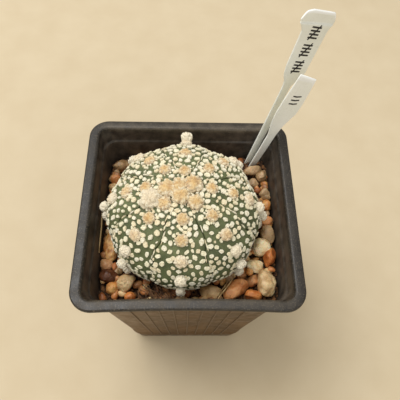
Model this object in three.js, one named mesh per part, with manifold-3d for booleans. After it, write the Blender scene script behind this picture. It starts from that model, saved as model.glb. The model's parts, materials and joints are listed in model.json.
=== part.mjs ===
// Potted star cactus: a flat-domed, eight-ribbed cactus flecked with white wool, growing in
// gravel in a thin-walled square pot, with two plastic plant labels pushed in beside it.
// Units are millimetres. The origin is the centre of the pot's foot, X to the right, Y to the
// back, Z up.

import * as THREE from 'three';
import { mergeVertices } from 'three/addons/utils/BufferGeometryUtils.js';
import Module from 'manifold-3d';

const wasm = await Module();
wasm.setup();

// Driving dimensions

const GAP = 0.3;               // clearance between pieces that touch
const FINENESS = 0.03;         // detail smaller than this is left off the solids
const WELD = 1e-4;             // corners closer than this are one

const POT_HEIGHT = 75;
const RIM_HALF = 35;           // half the pot's width over the rim
const RIM_CORNER = 6.6;
const RIM_WIDTH = 3.5;         // turned-out rim, seen from above
const RIM_THICKNESS = 1.8;
const RIM_EDGE = 0.5;          // rounding of the rim's edges
const RIM_DRAFT = 0.1;         // slant of the rim's two faces
const RIM_SHOULDER = 2;        // depth over which the rim's inside runs into the wall
const FRONT_BOW = 0.6;         // how far the front side has pulled in at its middle
const WALL = 0.8;
const FOOT_HALF = 22.5;
const FOOT_CORNER = 5;         // rounding of the wall's corners at the foot
const TOP_CORNER = 5.6;        // and under the rim
const STEP_CORNER = 4.6;       // and inside, at the stacking step
const FOOT_EDGE = 0.8;         // bevel round the foot
const FLOOR = 1.6;
const FLOOR_EDGE = 1;          // height of the bevel round the floor, inside
const STEP_DEPTH = 6;          // stacking step inside, below the rim
const STEP_INSET = 0.5;
const FLUTES_PER_SIDE = 9;     // raised lines down the outside
const FLUTE_PITCH = 5;
const FLUTE_WIDTH = 0.9;
const FLUTE_HEIGHT = 0.3;
const FLUTE_FOOT = 8;          // height at which the lines end above the foot
const FLUTE_ROOT = 0.4;        // how far they run up into the rim
const DRAIN_RADIUS = 3.2;
const DRAIN_PLACE = 12.5;

const SOIL_TOP = 52;
const SOIL_EDGE = 1.2;         // bevel round the bottom of the soil
const GRAVEL_TOP = 61.2;       // top of the packed bed that the upper stones lie in
const GRAVEL_SLOPE = 0.035;    // the bed rises this much to the right for each millimetre
const BED_INSET = 0.4;         // loose filling stays this far inside the wall

const PLANT_X = -1.65;
const PLANT_Y = -1.3;
const EQUATOR = 71.5;          // height of the plant's widest line
const DOME_RADIUS = 24.9;
const DOME_RISE = 17.6;
const RIBS = 8;
const RIB_TURN = -1.75;        // degrees that the ribs are turned from the X axis
const FURROW_DEPTH = 1.5;
const NOTCH_WIDTH = 0.9;       // half width of the notch of a furrow, and of its soft shoulders
const SHOULDER_WIDTH = 3.2;
const FURROW_ZIGZAG = 0.035;   // sideways wander of the furrows, in radians
const LOWEST_BODY = 146;       // polar angle, in degrees, at which the body meets the root
const ROOT_NECK = 7;
const ROOT_MIDDLE = 3.4;       // radius of the root halfway down
const ROOT_MIDDLE_HEIGHT = 38;
const ROOT_TIP = 0.8;
const ROOT_TIP_HEIGHT = 26;
const AREOLE_RADIUS = 2;       // near the crown
const OLD_AREOLE_RADIUS = 1.3; // low on the ribs
const AREOLE_LIFT = 1;         // how far the lowest, oldest wool stands out of the plant
const LOWEST_AREOLE = 112;     // polar angle, in degrees

// First areole, spacing and growth of the spacing down each rib, in degrees from the crown,
// for the ribs counted anticlockwise from the right
const AREOLE_ROWS = [
  [19.5, 17, 0],
  [25, 18.2, 0],
  [12.5, 22, 3],
  [20, 18.8, 0],
  [27, 17, 0.5],
  [33.4, 17, 1.2],
  [24.5, 15.2, 1.7],
  [29, 17.6, 0],
];

// Woolly tufts crowded at the crown, and one tall tuft at the back: degrees from the crown,
// degrees round it, radius and how far it stands out
const TUFTS = [
  [11.5, -171, 2.7, 0],
  [3, -172, 2.6, 0],
  [6.5, 9, 2.8, 0],
  [8.2, -103, 2.7, 0],
  [18.8, -135, 2.1, 0],
  [14.7, -58, 2.4, 0],
  [24.4, -158, 3, 0],
  [62, 88, 1.7, 2.6],
];

const FLECK_SEED = 4187;
const FLECK_COUNT = 270;
const FLECK_TRIES = 9000;
const FLECK_CROWDING = 1.2;    // above 1, they crowd towards the crown
const LOWEST_FLECK = 114;      // polar angle, in degrees
const FLECK_LENGTH = 1.6;      // the shortest, and below it how much longer others are
const FLECK_EXTRA_LENGTH = 0.7;
const FLECK_SLIMMEST = 0.62;   // width as a share of the length, and how much it varies
const FLECK_EXTRA_WIDTH = 0.33;
const FLECK_TOP = 0.42;        // radius of its top and of its root, for a fleck one unit long
const FLECK_FOOT = 0.56;
const FLECK_SPACING = 0.35;    // least room between two flecks
const FLECK_AREOLE_GAP = 0.1;  // least room between a fleck and an areole
const FLECK_RISE = 0.55;
const FLECK_ROOT = 0.8;
const FLECK_MARGIN = 0.9;      // strip beside each furrow that stays bare

// Plant labels. The foot is where the blade leaves the gravel. Each row of the outline gives
// the distance along the blade from there, and across it the left and the right edge. The top
// lists the points of the upper edge, across and along, from right to left.
const LABEL_THICKNESS = 0.8;
const TALL_LABEL = {
  foot: [22.1, 26.7, 59.6],
  lean: 19.2,
  azimuth: 38.6,
  facing: -69,
  outline: [
    [-14, -0.5, 0.5],
    [-10, -1.5, 1.5],
    [37, -1.5, 1.7],
    [39, -1.9, 3],
    [41, -3.1, 4.8],
    [45, -4.1, 5],
    [57, -4.7, 5.2],
    [59.5, -6.6, 6.1],
    [61.4, -7, 6.1],
  ],
  top: [[4.6, 63.3], [-0.4, 63.6], [-3.8, 63.8], [-5.9, 63.2]],
};
const SHORT_LABEL = {
  foot: [23.5, 25.3, 59.6],
  lean: 17.2,
  azimuth: 19,
  facing: -80,
  outline: [
    [-6, -0.5, 0.5],
    [-3, -1.1, 1.1],
    [19, -1.5, 1.5],
    [24, -2.7, 2.1],
    [30, -3.5, 4],
    [35, -3.5, 4.1],
    [45.2, -3, 3.3],
  ],
  top: [[-3, 46.4]],
};

// The larger stones beside the plant: x, y, length, width, height and turn in degrees
const STONES = [
  [-25.1, 24.7, 5.6, 4.4, 4.4, 10],
  [-26.7, 18.5, 4.0, 3.6, 3.8, 50],
  [-27.3, 15.1, 3.4, 3.2, 3.4, 80],
  [-25.9, -9.1, 10.6, 5.2, 5.0, 88],
  [-26.9, -15.1, 4.4, 4.2, 4.2, 5],
  [-26.0, -19.1, 6.2, 4.4, 4.4, -8],
  [-20.0, -21.4, 6.4, 5.6, 5.6, 40],
  [-24.5, -23.1, 4.3, 4.0, 3.8, 20],
  [-18.6, -26.0, 3.8, 3.2, 3.0, 0],
  [7.2, -24.8, 7.4, 5.4, 3.8, -6],
  [15.1, -24.0, 9.4, 5.4, 4.8, 38],
  [21.1, -21.3, 4.8, 3.9, 4.2, 60],
  [20.8, -25.9, 5.6, 3.8, 4.0, -4],
  [25.2, -22.1, 9.6, 6.0, 5.8, 86],
  [21.7, -16.3, 5.6, 4.4, 4.8, -15],
  [27.0, -13.2, 6.6, 4.3, 5.2, 66],
  [24.3, -9.6, 6.2, 6.0, 5.8, 30],
  [26.8, -4.9, 6.8, 5.0, 5.6, 80],
  [26.9, 0.4, 4.9, 4.2, 4.8, -20],
  [27.6, 7.0, 4.8, 3.2, 4.0, 85],
  [27.3, 11.4, 4.0, 3.6, 4.2, 30],
  [23.6, 16.2, 4.3, 3.6, 3.6, 0],
  [26.7, 19.4, 5.0, 4.1, 4.6, 80],
  [23.6, 21.4, 6.8, 4.2, 4.6, 10],
];
const STONE_SEED = 907;
const STONE_SUNK = 0.12;       // share of a large stone's height that lies below the bed's top
const LARGE_STONE = 5;         // a stone longer than this is rounder, with more faces
const FILL_STONES = 44;        // smaller stones that fill the bed between them
const FILL_TRIES = 4000;
const FILL_LENGTH = 3.4;       // the shortest, and below it how much longer others are
const FILL_EXTRA_LENGTH = 1.8;
const FILL_WIDTH = 0.8;        // width and height as shares of the length
const FILL_HEIGHT = 0.75;
const FILL_RISE = 0.5;         // height of their middles above the bed's top
const FILL_EDGE = 2.2;         // how far their middles stay from the edge of the bed
const FILL_FROM_PLANT = 20;    // and from the plant's middle

// Helpers

// Repeatable random numbers from 0 to 1
function randomSource(seed) {
  let state = seed;
  return () => {
    state = (state * 16807) % 2147483647;
    return state / 2147483647;
  };
}

// Closed solid from a closed geometry
function solid(geometry) {
  const bare = geometry.clone();
  bare.deleteAttribute('normal');
  bare.deleteAttribute('uv');
  const merged = mergeVertices(bare, WELD);
  return new wasm.Manifold(new wasm.Mesh({
    numProp: 3,
    vertProperties: new Float32Array(merged.attributes.position.array),
    triVerts: new Uint32Array(merged.index.array),
  }));
}

// Geometry of the largest connected part of a solid, with scraps left by cutting dropped
function geometryOf(shape) {
  const parts = shape.asOriginal().simplify(FINENESS).decompose();
  const whole = parts.reduce((best, part) => (part.volume() > best.volume() ? part : best));
  const mesh = whole.getMesh();
  const geometry = new THREE.BufferGeometry();
  geometry.setAttribute('position', new THREE.BufferAttribute(mesh.vertProperties, 3));
  geometry.setIndex(new THREE.BufferAttribute(mesh.triVerts, 1));
  geometry.computeVertexNormals();
  return geometry;
}

// Points round a square with rounded corners, anticlockwise from the right-hand side
function roundedSquare(half, corner, z, bow = 0, cornerSteps = 4, sideSteps = 3) {
  const points = [];
  const straight = half - corner;
  const centres = [[1, 1], [-1, 1], [-1, -1], [1, -1]];
  centres.forEach(([sx, sy], index) => {
    for (let step = 0; step <= cornerSteps; step += 1) {
      const angle = (index + step / cornerSteps) * (Math.PI / 2);
      const x = sx * straight + corner * Math.cos(angle);
      const y = sy * straight + corner * Math.sin(angle);
      points.push(new THREE.Vector3(x, y, z));
    }
    const from = points[points.length - 1];
    const [nx, ny] = centres[(index + 1) % 4];
    const nextAngle = (index + 1) * (Math.PI / 2);
    const to = new THREE.Vector3(
      nx * straight + corner * Math.cos(nextAngle),
      ny * straight + corner * Math.sin(nextAngle),
      z,
    );
    for (let step = 1; step < sideSteps; step += 1) {
      points.push(from.clone().lerp(to, step / sideSteps));
    }
  });
  points.forEach((point) => {
    if (point.y < -straight) {
      const across = Math.min(Math.abs(point.x) / straight, 1);
      point.y += bow * (1 - across * across);
    }
  });
  return points;
}

// Closed skin over rings of equal point counts, flat across the first and the last ring
function loft(rings) {
  const count = rings[0].length;
  const positions = [];
  const index = [];
  rings.flat().forEach((point) => positions.push(point.x, point.y, point.z));
  for (let ring = 0; ring + 1 < rings.length; ring += 1) {
    for (let step = 0; step < count; step += 1) {
      const a = ring * count + step;
      const b = ring * count + ((step + 1) % count);
      index.push(a, b, b + count, a, b + count, a + count);
    }
  }
  const addCap = (start, facesUp) => {
    const centre = positions.length / 3;
    const middle = new THREE.Vector3();
    rings[start].forEach((point) => middle.addScaledVector(point, 1 / count));
    positions.push(middle.x, middle.y, middle.z);
    for (let step = 0; step < count; step += 1) {
      const a = start * count + step;
      const b = start * count + ((step + 1) % count);
      index.push(centre, facesUp ? a : b, facesUp ? b : a);
    }
  };
  addCap(0, false);
  addCap(rings.length - 1, true);
  const geometry = new THREE.BufferGeometry();
  geometry.setAttribute('position', new THREE.Float32BufferAttribute(positions, 3));
  geometry.setIndex(index);
  return geometry;
}

function fuse(shapes) {
  return wasm.Manifold.union(shapes);
}

function namedMesh(name, geometry, color, roughness) {
  const material = new THREE.MeshStandardMaterial({ color, roughness, metalness: 0 });
  const mesh = new THREE.Mesh(geometry, material);
  mesh.name = name;
  return mesh;
}

// Pot

const UNDER_RIM = POT_HEIGHT - RIM_THICKNESS;
const WALL_TOP_HALF = RIM_HALF - RIM_WIDTH;
const WALL_SLOPE = (WALL_TOP_HALF - FOOT_HALF) / UNDER_RIM;
const STEP_Z = POT_HEIGHT - STEP_DEPTH;

function outerHalf(z) {
  return FOOT_HALF + WALL_SLOPE * z;
}

function outerCorner(z) {
  return FOOT_CORNER + (z / UNDER_RIM) * (TOP_CORNER - FOOT_CORNER);
}

// Half the width inside the wall; above the stacking step the wall stands further out
function innerHalf(z) {
  const inset = z > STEP_Z ? WALL - STEP_INSET : WALL;
  return outerHalf(z) - inset;
}

// Square section of the pot's inside at a height, drawn in by a margin
function insideRing(z, margin) {
  return roundedSquare(innerHalf(z) - margin, outerCorner(z) - WALL, z);
}

// Raised line on the front wall, turned to its own wall
function flute(turn, across) {
  const spread = FOOT_HALF / WALL_TOP_HALF;
  const sections = [
    [FLUTE_FOOT, spread],
    [UNDER_RIM + FLUTE_ROOT, 1],
  ];
  const rings = sections.map(([z, scale]) => {
    const x = across * scale;
    const face = outerHalf(z) + FLUTE_HEIGHT;
    const back = outerHalf(z) - WALL / 2;
    return [
      new THREE.Vector3(x - FLUTE_WIDTH / 2, -back, z),
      new THREE.Vector3(x, -face, z),
      new THREE.Vector3(x + FLUTE_WIDTH / 2, -back, z),
    ];
  });
  return solid(loft(rings).rotateZ(turn));
}

function makePot() {
  const rimRing = (half, z) => roundedSquare(half, RIM_CORNER - (RIM_HALF - half), z, FRONT_BOW);
  const wallRing = (half, z) => roundedSquare(half, outerCorner(z), z);
  const top = POT_HEIGHT;
  const shoulder = top - RIM_SHOULDER;
  const stepTop = STEP_Z + STEP_INSET;
  const floorTop = FLOOR + FLOOR_EDGE;
  const floorCorner = outerCorner(0) - WALL;
  const body = solid(loft([
    wallRing(FOOT_HALF - FOOT_EDGE, 0),
    wallRing(outerHalf(FOOT_EDGE), FOOT_EDGE),
    wallRing(outerHalf(UNDER_RIM / 2), UNDER_RIM / 2),
    wallRing(WALL_TOP_HALF - RIM_DRAFT, UNDER_RIM),
    rimRing(RIM_HALF - 2 * RIM_DRAFT, UNDER_RIM),
    rimRing(RIM_HALF, UNDER_RIM + RIM_EDGE),
    rimRing(RIM_HALF - RIM_DRAFT, top - RIM_EDGE),
    rimRing(RIM_HALF - RIM_EDGE, top),
    rimRing(WALL_TOP_HALF + RIM_EDGE, top),
    rimRing(WALL_TOP_HALF - RIM_DRAFT, top - RIM_EDGE),
    roundedSquare(innerHalf(shoulder), STEP_CORNER, shoulder, FRONT_BOW / 2),
    roundedSquare(innerHalf(stepTop), STEP_CORNER, stepTop),
    roundedSquare(innerHalf(STEP_Z), STEP_CORNER, STEP_Z),
    roundedSquare(innerHalf(floorTop), floorCorner, floorTop),
    roundedSquare(innerHalf(FLOOR) - FLOOR_EDGE, floorCorner, FLOOR),
  ]));
  const flutes = [];
  for (let side = 0; side < 4; side += 1) {
    for (let line = 0; line < FLUTES_PER_SIDE; line += 1) {
      const across = (line - (FLUTES_PER_SIDE - 1) / 2) * FLUTE_PITCH;
      flutes.push(flute(side * (Math.PI / 2), across));
    }
  }
  const drains = [[1, 1], [-1, 1], [-1, -1], [1, -1]].map(([sx, sy]) => {
    const drain = new THREE.CylinderGeometry(DRAIN_RADIUS, DRAIN_RADIUS, FLOOR * 4, 16);
    drain.rotateX(Math.PI / 2);
    drain.translate(sx * DRAIN_PLACE, sy * DRAIN_PLACE, 0);
    return solid(drain);
  });
  const pot = fuse([body, ...flutes]).subtract(fuse(drains));
  return namedMesh('pot', geometryOf(pot), 0x3a3733, 0.45);
}

// Plant

const NECK_HEIGHT = SOIL_TOP + 1;
const LOW_PAD = 1.2;           // pads beyond this polar angle, in radians, may reach the gravel
const PAD_ROOM = GAP + 0.1;

const ribAngle = (rib) => THREE.MathUtils.degToRad(RIB_TURN + (rib * 360) / RIBS);

// Point on the smooth dome, without furrows, at a polar and a round angle in radians
function domePoint(polar, azimuth) {
  return new THREE.Vector3(
    PLANT_X + DOME_RADIUS * Math.sin(polar) * Math.cos(azimuth),
    PLANT_Y + DOME_RADIUS * Math.sin(polar) * Math.sin(azimuth),
    EQUATOR + DOME_RISE * Math.cos(polar),
  );
}

function domeNormal(polar, azimuth) {
  return new THREE.Vector3(
    Math.sin(polar) * Math.cos(azimuth) / DOME_RADIUS,
    Math.sin(polar) * Math.sin(azimuth) / DOME_RADIUS,
    Math.cos(polar) / DOME_RISE,
  ).normalize();
}

// Sideways wander of every furrow at a polar angle
function zigzag(polar) {
  return FURROW_ZIGZAG * Math.sin(polar * 11);
}

// Depth of the surface below the dome, from the distance to the nearest furrow in millimetres
function furrowDepth(polar, distance) {
  const growth = THREE.MathUtils.smoothstep(polar, 0.2, 1.2);
  const notch = Math.exp(-((distance / NOTCH_WIDTH) ** 2));
  const shoulder = Math.exp(-((distance / SHOULDER_WIDTH) ** 2));
  return FURROW_DEPTH * growth * (0.6 * notch + 0.4 * shoulder);
}

function bodyRing(polar) {
  const rows = [0, 0.07, 0.25, 0.5, 0.75, 0.93];
  const points = [];
  const girth = DOME_RADIUS * Math.sin(polar);
  for (let rib = 0; rib < RIBS; rib += 1) {
    rows.forEach((share) => {
      const ribWidth = (2 * Math.PI) / RIBS;
      const azimuth = ribAngle(rib) + (share - 0.5) * ribWidth + zigzag(polar);
      const distance = Math.min(share, 1 - share) * ribWidth * girth;
      const depth = furrowDepth(polar, distance);
      const point = domePoint(polar, azimuth);
      points.push(point.addScaledVector(domeNormal(polar, azimuth), -depth));
    });
  }
  return points;
}

function rootRing(radius, z) {
  return bodyRing(Math.PI / 2).map((point) => {
    const angle = Math.atan2(point.y - PLANT_Y, point.x - PLANT_X);
    return new THREE.Vector3(PLANT_X + radius * Math.cos(angle), PLANT_Y + radius * Math.sin(angle), z);
  });
}

// Woolly pad with its underside well inside the plant
function pad(polar, azimuth, radius, lift) {
  const section = [[0, -1.1], [0.9, -0.75], [1, 0.05], [0.78, 0.55], [0, 0.86]];
  const profile = section.map(([r, z]) => new THREE.Vector2(r * radius, z * radius));
  profile[0].y -= lift;
  profile[1].y -= lift;
  const ball = new THREE.LatheGeometry(profile, 8);
  ball.rotateX(Math.PI / 2);
  const turn = new THREE.Quaternion().setFromUnitVectors(
    new THREE.Vector3(0, 0, 1),
    domeNormal(polar, azimuth),
  );
  ball.applyQuaternion(turn);
  const seat = domePoint(polar, azimuth).addScaledVector(domeNormal(polar, azimuth), lift);
  ball.translate(seat.x, seat.y, seat.z);
  return solid(ball);
}

// Places of the tufts and areoles, as polar angle, round angle, radius and lift. Low on the
// ribs the areoles are smaller and their wool stands further out.
function areolePlaces() {
  const rad = THREE.MathUtils.degToRad;
  const places = TUFTS.map(([polar, azimuth, radius, lift]) => (
    [rad(polar), rad(azimuth), radius, lift]
  ));
  AREOLE_ROWS.forEach(([first, spacing, growth], rib) => {
    let polar = first;
    let step = spacing;
    while (polar < LOWEST_AREOLE) {
      const lift = AREOLE_LIFT * THREE.MathUtils.smoothstep(rad(polar), 0.9, 1.5);
      const age = THREE.MathUtils.smoothstep(rad(polar), 0.7, 1.7);
      const radius = THREE.MathUtils.lerp(AREOLE_RADIUS, OLD_AREOLE_RADIUS, age);
      places.push([rad(polar), ribAngle(rib), radius, lift]);
      polar += step;
      step += growth;
    }
  });
  return places;
}

// Distance along the surface, in millimetres, from a place on the dome to the nearest furrow
function furrowDistance(polar, azimuth) {
  const ribWidth = (2 * Math.PI) / RIBS;
  const turns = (azimuth - zigzag(polar) - ribAngle(0)) / ribWidth + 0.5;
  const share = turns - Math.floor(turns);
  return Math.min(share, 1 - share) * ribWidth * DOME_RADIUS * Math.sin(polar);
}

// Flecks thrown at random over the dome, each kept clear of the furrows, the pads and the
// other flecks
function fleckPlaces(pads) {
  const random = randomSource(FLECK_SEED);
  const flecks = [];
  const seats = pads.map(([polar, azimuth, radius]) => [domePoint(polar, azimuth), radius]);
  const lowest = THREE.MathUtils.degToRad(LOWEST_FLECK);
  for (let attempt = 0; attempt < FLECK_TRIES && flecks.length < FLECK_COUNT; attempt += 1) {
    const polar = Math.acos(1 - random() ** FLECK_CROWDING * (1 - Math.cos(lowest)));
    const azimuth = random() * 2 * Math.PI;
    const length = FLECK_LENGTH + FLECK_EXTRA_LENGTH * random();
    const width = length * (FLECK_SLIMMEST + FLECK_EXTRA_WIDTH * random());
    const turn = random() * Math.PI;
    const reach = length / 2;
    const point = domePoint(polar, azimuth);
    const offPads = ([seat, radius]) => seat.distanceTo(point) > radius + reach + FLECK_AREOLE_GAP;
    const apart = (other) => other.point.distanceTo(point) > other.reach + reach + FLECK_SPACING;
    const offFurrows = furrowDistance(polar, azimuth) > FLECK_MARGIN;
    if (offFurrows && seats.every(offPads) && flecks.every(apart)) {
      flecks.push({ polar, azimuth, length, width, turn, reach, point });
    }
  }
  return flecks;
}

// Five-sided fleck with a flat top and its root inside the plant
function fleckSolid({ polar, azimuth, length, width, turn, point }) {
  const shape = new THREE.CylinderGeometry(FLECK_TOP, FLECK_FOOT, FLECK_RISE + FLECK_ROOT, 5);
  shape.rotateX(Math.PI / 2);
  shape.scale(length, width, 1);
  shape.rotateZ(turn);
  const normal = domeNormal(polar, azimuth);
  const upright = new THREE.Quaternion().setFromUnitVectors(new THREE.Vector3(0, 0, 1), normal);
  shape.applyQuaternion(upright);
  const depth = furrowDepth(polar, furrowDistance(polar, azimuth));
  const middle = (FLECK_RISE - FLECK_ROOT) / 2 - depth;
  shape.translate(point.x + normal.x * middle, point.y + normal.y * middle, point.z + normal.z * middle);
  return solid(shape);
}

function plantBody() {
  const polars = [LOWEST_BODY, 132, 118, 104, 92, 80, 68, 57, 46, 36, 27, 18, 10, 4];
  return solid(loft([
    rootRing(ROOT_TIP, ROOT_TIP_HEIGHT),
    rootRing(ROOT_MIDDLE, ROOT_MIDDLE_HEIGHT),
    rootRing(ROOT_NECK, NECK_HEIGHT),
    ...polars.map((polar) => bodyRing(THREE.MathUtils.degToRad(polar))),
  ]));
}

const areoles = areolePlaces();

function makeCactus() {
  const pads = areoles.map((place) => pad(...place));
  const flecks = fleckPlaces(areoles).map(fleckSolid);
  const plant = fuse([plantBody(), ...pads, ...flecks]);
  return namedMesh('cactus', geometryOf(plant), 0x6f7f5c, 0.8);
}

// Room that the plant needs in the bed and the soil
function plantRoom() {
  const profile = [
    [0, ROOT_TIP_HEIGHT - GAP],
    [ROOT_TIP + GAP, ROOT_TIP_HEIGHT - GAP],
    [ROOT_MIDDLE + GAP, ROOT_MIDDLE_HEIGHT],
    [ROOT_NECK + GAP, NECK_HEIGHT - GAP],
  ];
  const margin = FLECK_RISE + GAP;
  const steps = 10;
  for (let step = steps; step >= 0; step -= 1) {
    const angle = THREE.MathUtils.degToRad((LOWEST_BODY * step) / steps);
    profile.push([
      (DOME_RADIUS + margin) * Math.sin(angle),
      EQUATOR + (DOME_RISE + margin) * Math.cos(angle),
    ]);
  }
  const turned = new THREE.LatheGeometry(profile.map(([x, y]) => new THREE.Vector2(x, y)), 32);
  turned.rotateX(Math.PI / 2);
  turned.translate(PLANT_X, PLANT_Y, 0);
  const lowPads = areoles.filter(([polar]) => polar > LOW_PAD);
  const padRooms = lowPads.map(([polar, azimuth, radius, lift]) => (
    pad(polar, azimuth, radius + PAD_ROOM, lift)
  ));
  return fuse([solid(turned), ...padRooms]);
}

// Labels: flat blades that narrow to a stake, leaning back over the rim

// Frame of a leaning blade: along it, across it and out of its written face
function labelFrame({ lean, azimuth, facing, foot }) {
  const rad = THREE.MathUtils.degToRad;
  const along = new THREE.Vector3(
    Math.sin(rad(lean)) * Math.cos(rad(azimuth)),
    Math.sin(rad(lean)) * Math.sin(rad(azimuth)),
    Math.cos(rad(lean)),
  );
  const out = new THREE.Vector3(Math.cos(rad(facing)), Math.sin(rad(facing)), 0);
  out.addScaledVector(along, -out.dot(along)).normalize();
  const across = new THREE.Vector3().crossVectors(along, out);
  const matrix = new THREE.Matrix4().makeBasis(across, along, out);
  matrix.setPosition(new THREE.Vector3(...foot));
  return matrix;
}

// Blade of a label, or the room that it needs with a margin all round
function labelGeometry(label, margin = 0) {
  const rows = label.outline.map(([along, left, right], index) => (
    [index === 0 ? along - margin : along, left - margin, right + margin]
  ));
  const shape = new THREE.Shape([
    ...rows.map(([along, , right]) => new THREE.Vector2(right, along)),
    ...label.top.map(([across, along]) => new THREE.Vector2(across, along)),
    ...rows.map(([along, left]) => new THREE.Vector2(left, along)).reverse(),
  ]);
  const depth = LABEL_THICKNESS + 2 * margin;
  const blade = new THREE.ExtrudeGeometry(shape, { depth, bevelEnabled: false });
  blade.translate(0, 0, -depth / 2);
  blade.applyMatrix4(labelFrame(label));
  return blade;
}

function makeLabels() {
  return [
    namedMesh('label_tall', geometryOf(solid(labelGeometry(TALL_LABEL))), 0xe9e6db, 0.5),
    namedMesh('label_short', geometryOf(solid(labelGeometry(SHORT_LABEL))), 0xe9e6db, 0.5),
  ];
}

// Soil and gravel

function labelSlots() {
  return fuse([TALL_LABEL, SHORT_LABEL].map((label) => solid(labelGeometry(label, GAP))));
}

function makeSubstrate() {
  const low = FLOOR + GAP;
  const mass = solid(loft([
    insideRing(low, SOIL_EDGE),
    insideRing(low + SOIL_EDGE, BED_INSET),
    insideRing(SOIL_TOP, BED_INSET),
  ]));
  const soil = mass.subtract(plantRoom()).subtract(labelSlots());
  return namedMesh('substrate', geometryOf(soil), 0x3b2c20, 0.95);
}

const bedTop = (x) => GRAVEL_TOP + GRAVEL_SLOPE * x;

// Water-worn stone: a ball with wandering corners, stretched and turned
function stoneSolid(random, [x, y, length, width, height, turn], z, detail) {
  const ball = new THREE.IcosahedronGeometry(0.5, detail);
  const merged = mergeVertices(ball.deleteAttribute('normal').deleteAttribute('uv'), WELD);
  const corners = merged.attributes.position;
  const slightest = 0.86;
  const variation = 0.26;
  for (let corner = 0; corner < corners.count; corner += 1) {
    const swell = slightest + variation * random();
    corners.setXYZ(
      corner,
      corners.getX(corner) * swell,
      corners.getY(corner) * swell,
      corners.getZ(corner) * swell,
    );
  }
  merged.scale(length, width, height);
  merged.rotateZ(THREE.MathUtils.degToRad(turn));
  merged.translate(x, y, z);
  return solid(merged);
}

// Places and sizes of the smaller stones, in the same form as the larger ones
function fillStones(random) {
  const stones = [];
  const reach = innerHalf(GRAVEL_TOP) - BED_INSET - FILL_EDGE;
  const closeness = 0.36;
  for (let attempt = 0; attempt < FILL_TRIES && stones.length < FILL_STONES; attempt += 1) {
    const x = (2 * random() - 1) * reach;
    const y = (2 * random() - 1) * reach;
    const length = FILL_LENGTH + FILL_EXTRA_LENGTH * random();
    const turn = 180 * random();
    const clearOfPlant = Math.hypot(x - PLANT_X, y - PLANT_Y) > FILL_FROM_PLANT;
    const apart = (other) => (
      Math.hypot(x - other[0], y - other[1]) > (length + other[2]) * closeness
    );
    if (clearOfPlant && STONES.every(apart) && stones.every(apart)) {
      stones.push([x, y, length, length * FILL_WIDTH, length * FILL_HEIGHT, turn]);
    }
  }
  return stones;
}

function makeGravel() {
  const random = randomSource(STONE_SEED);
  const low = SOIL_TOP + GAP;
  const surface = insideRing(GRAVEL_TOP, BED_INSET);
  surface.forEach((point) => point.setZ(bedTop(point.x)));
  const bed = solid(loft([insideRing(low, BED_INSET), surface]));
  const large = STONES.map((stone) => {
    const [x, , length, , height] = stone;
    const middle = bedTop(x) + height * (0.5 - STONE_SUNK);
    return stoneSolid(random, stone, middle, length > LARGE_STONE ? 1 : 0);
  });
  const small = fillStones(random).map((stone) => (
    stoneSolid(random, stone, bedTop(stone[0]) + FILL_RISE, 0)
  ));
  const high = STEP_Z - STEP_INSET;
  const cavity = solid(loft([insideRing(low, BED_INSET), insideRing(high, BED_INSET)]));
  const gravel = fuse([bed, ...large, ...small])
    .intersect(cavity)
    .subtract(plantRoom())
    .subtract(labelSlots());
  return namedMesh('gravel', geometryOf(gravel), 0xb0835a, 0.7);
}

const pottedCactus = new THREE.Group();
pottedCactus.add(makePot());
pottedCactus.add(makeSubstrate());
pottedCactus.add(makeGravel());
pottedCactus.add(makeCactus());
pottedCactus.add(...makeLabels());

export default pottedCactus;
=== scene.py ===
"""A flat-domed star cactus flecked with white wool, in gravel in a square black nursery pot, with
two plastic plant labels leaning over the rim. Metres, origin at the centre of the pot's foot,
X to the right, Y to the back, Z up."""
import json
from math import acos, copysign, cos, exp, hypot, pi, radians, sin, tau

import bmesh
import bpy
import numpy as np
from mathutils import Matrix, Vector, noise

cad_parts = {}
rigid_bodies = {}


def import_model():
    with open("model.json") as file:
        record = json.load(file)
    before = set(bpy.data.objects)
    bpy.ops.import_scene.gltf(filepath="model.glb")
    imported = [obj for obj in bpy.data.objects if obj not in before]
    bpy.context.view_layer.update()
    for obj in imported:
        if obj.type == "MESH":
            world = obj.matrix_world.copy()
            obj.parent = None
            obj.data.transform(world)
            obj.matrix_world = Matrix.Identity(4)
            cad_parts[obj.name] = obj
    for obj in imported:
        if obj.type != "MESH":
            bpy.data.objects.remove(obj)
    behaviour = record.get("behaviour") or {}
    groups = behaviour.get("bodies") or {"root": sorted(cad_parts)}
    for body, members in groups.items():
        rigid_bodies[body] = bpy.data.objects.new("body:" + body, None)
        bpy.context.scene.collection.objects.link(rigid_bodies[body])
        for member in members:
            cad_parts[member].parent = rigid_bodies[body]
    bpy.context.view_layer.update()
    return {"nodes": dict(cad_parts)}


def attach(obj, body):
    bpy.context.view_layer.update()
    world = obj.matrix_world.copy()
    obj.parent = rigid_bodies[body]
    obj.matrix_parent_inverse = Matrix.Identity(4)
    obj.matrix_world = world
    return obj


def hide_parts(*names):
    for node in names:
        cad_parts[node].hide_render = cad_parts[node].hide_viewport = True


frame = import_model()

scene = bpy.context.scene
MM = 0.001

# Camera
# It stands 156 mm from the rim's middle, 59.5 degrees above the level, a little to the left of
# square on, and is rolled slightly clockwise.
AIM = Vector((3.65, 2.2, 75.0)) * MM
CAMERA_DISTANCE = 155.85 * MM
CAMERA_RISE = radians(59.51)
CAMERA_SWING = radians(-3.85)
CAMERA_ROLL = radians(-3.76)
FOCAL_LENGTH = 42.9


def new_object(name, data):
    """An object of the scene, at the origin."""
    made = bpy.data.objects.new(name, data)
    scene.collection.objects.link(made)
    return made


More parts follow.
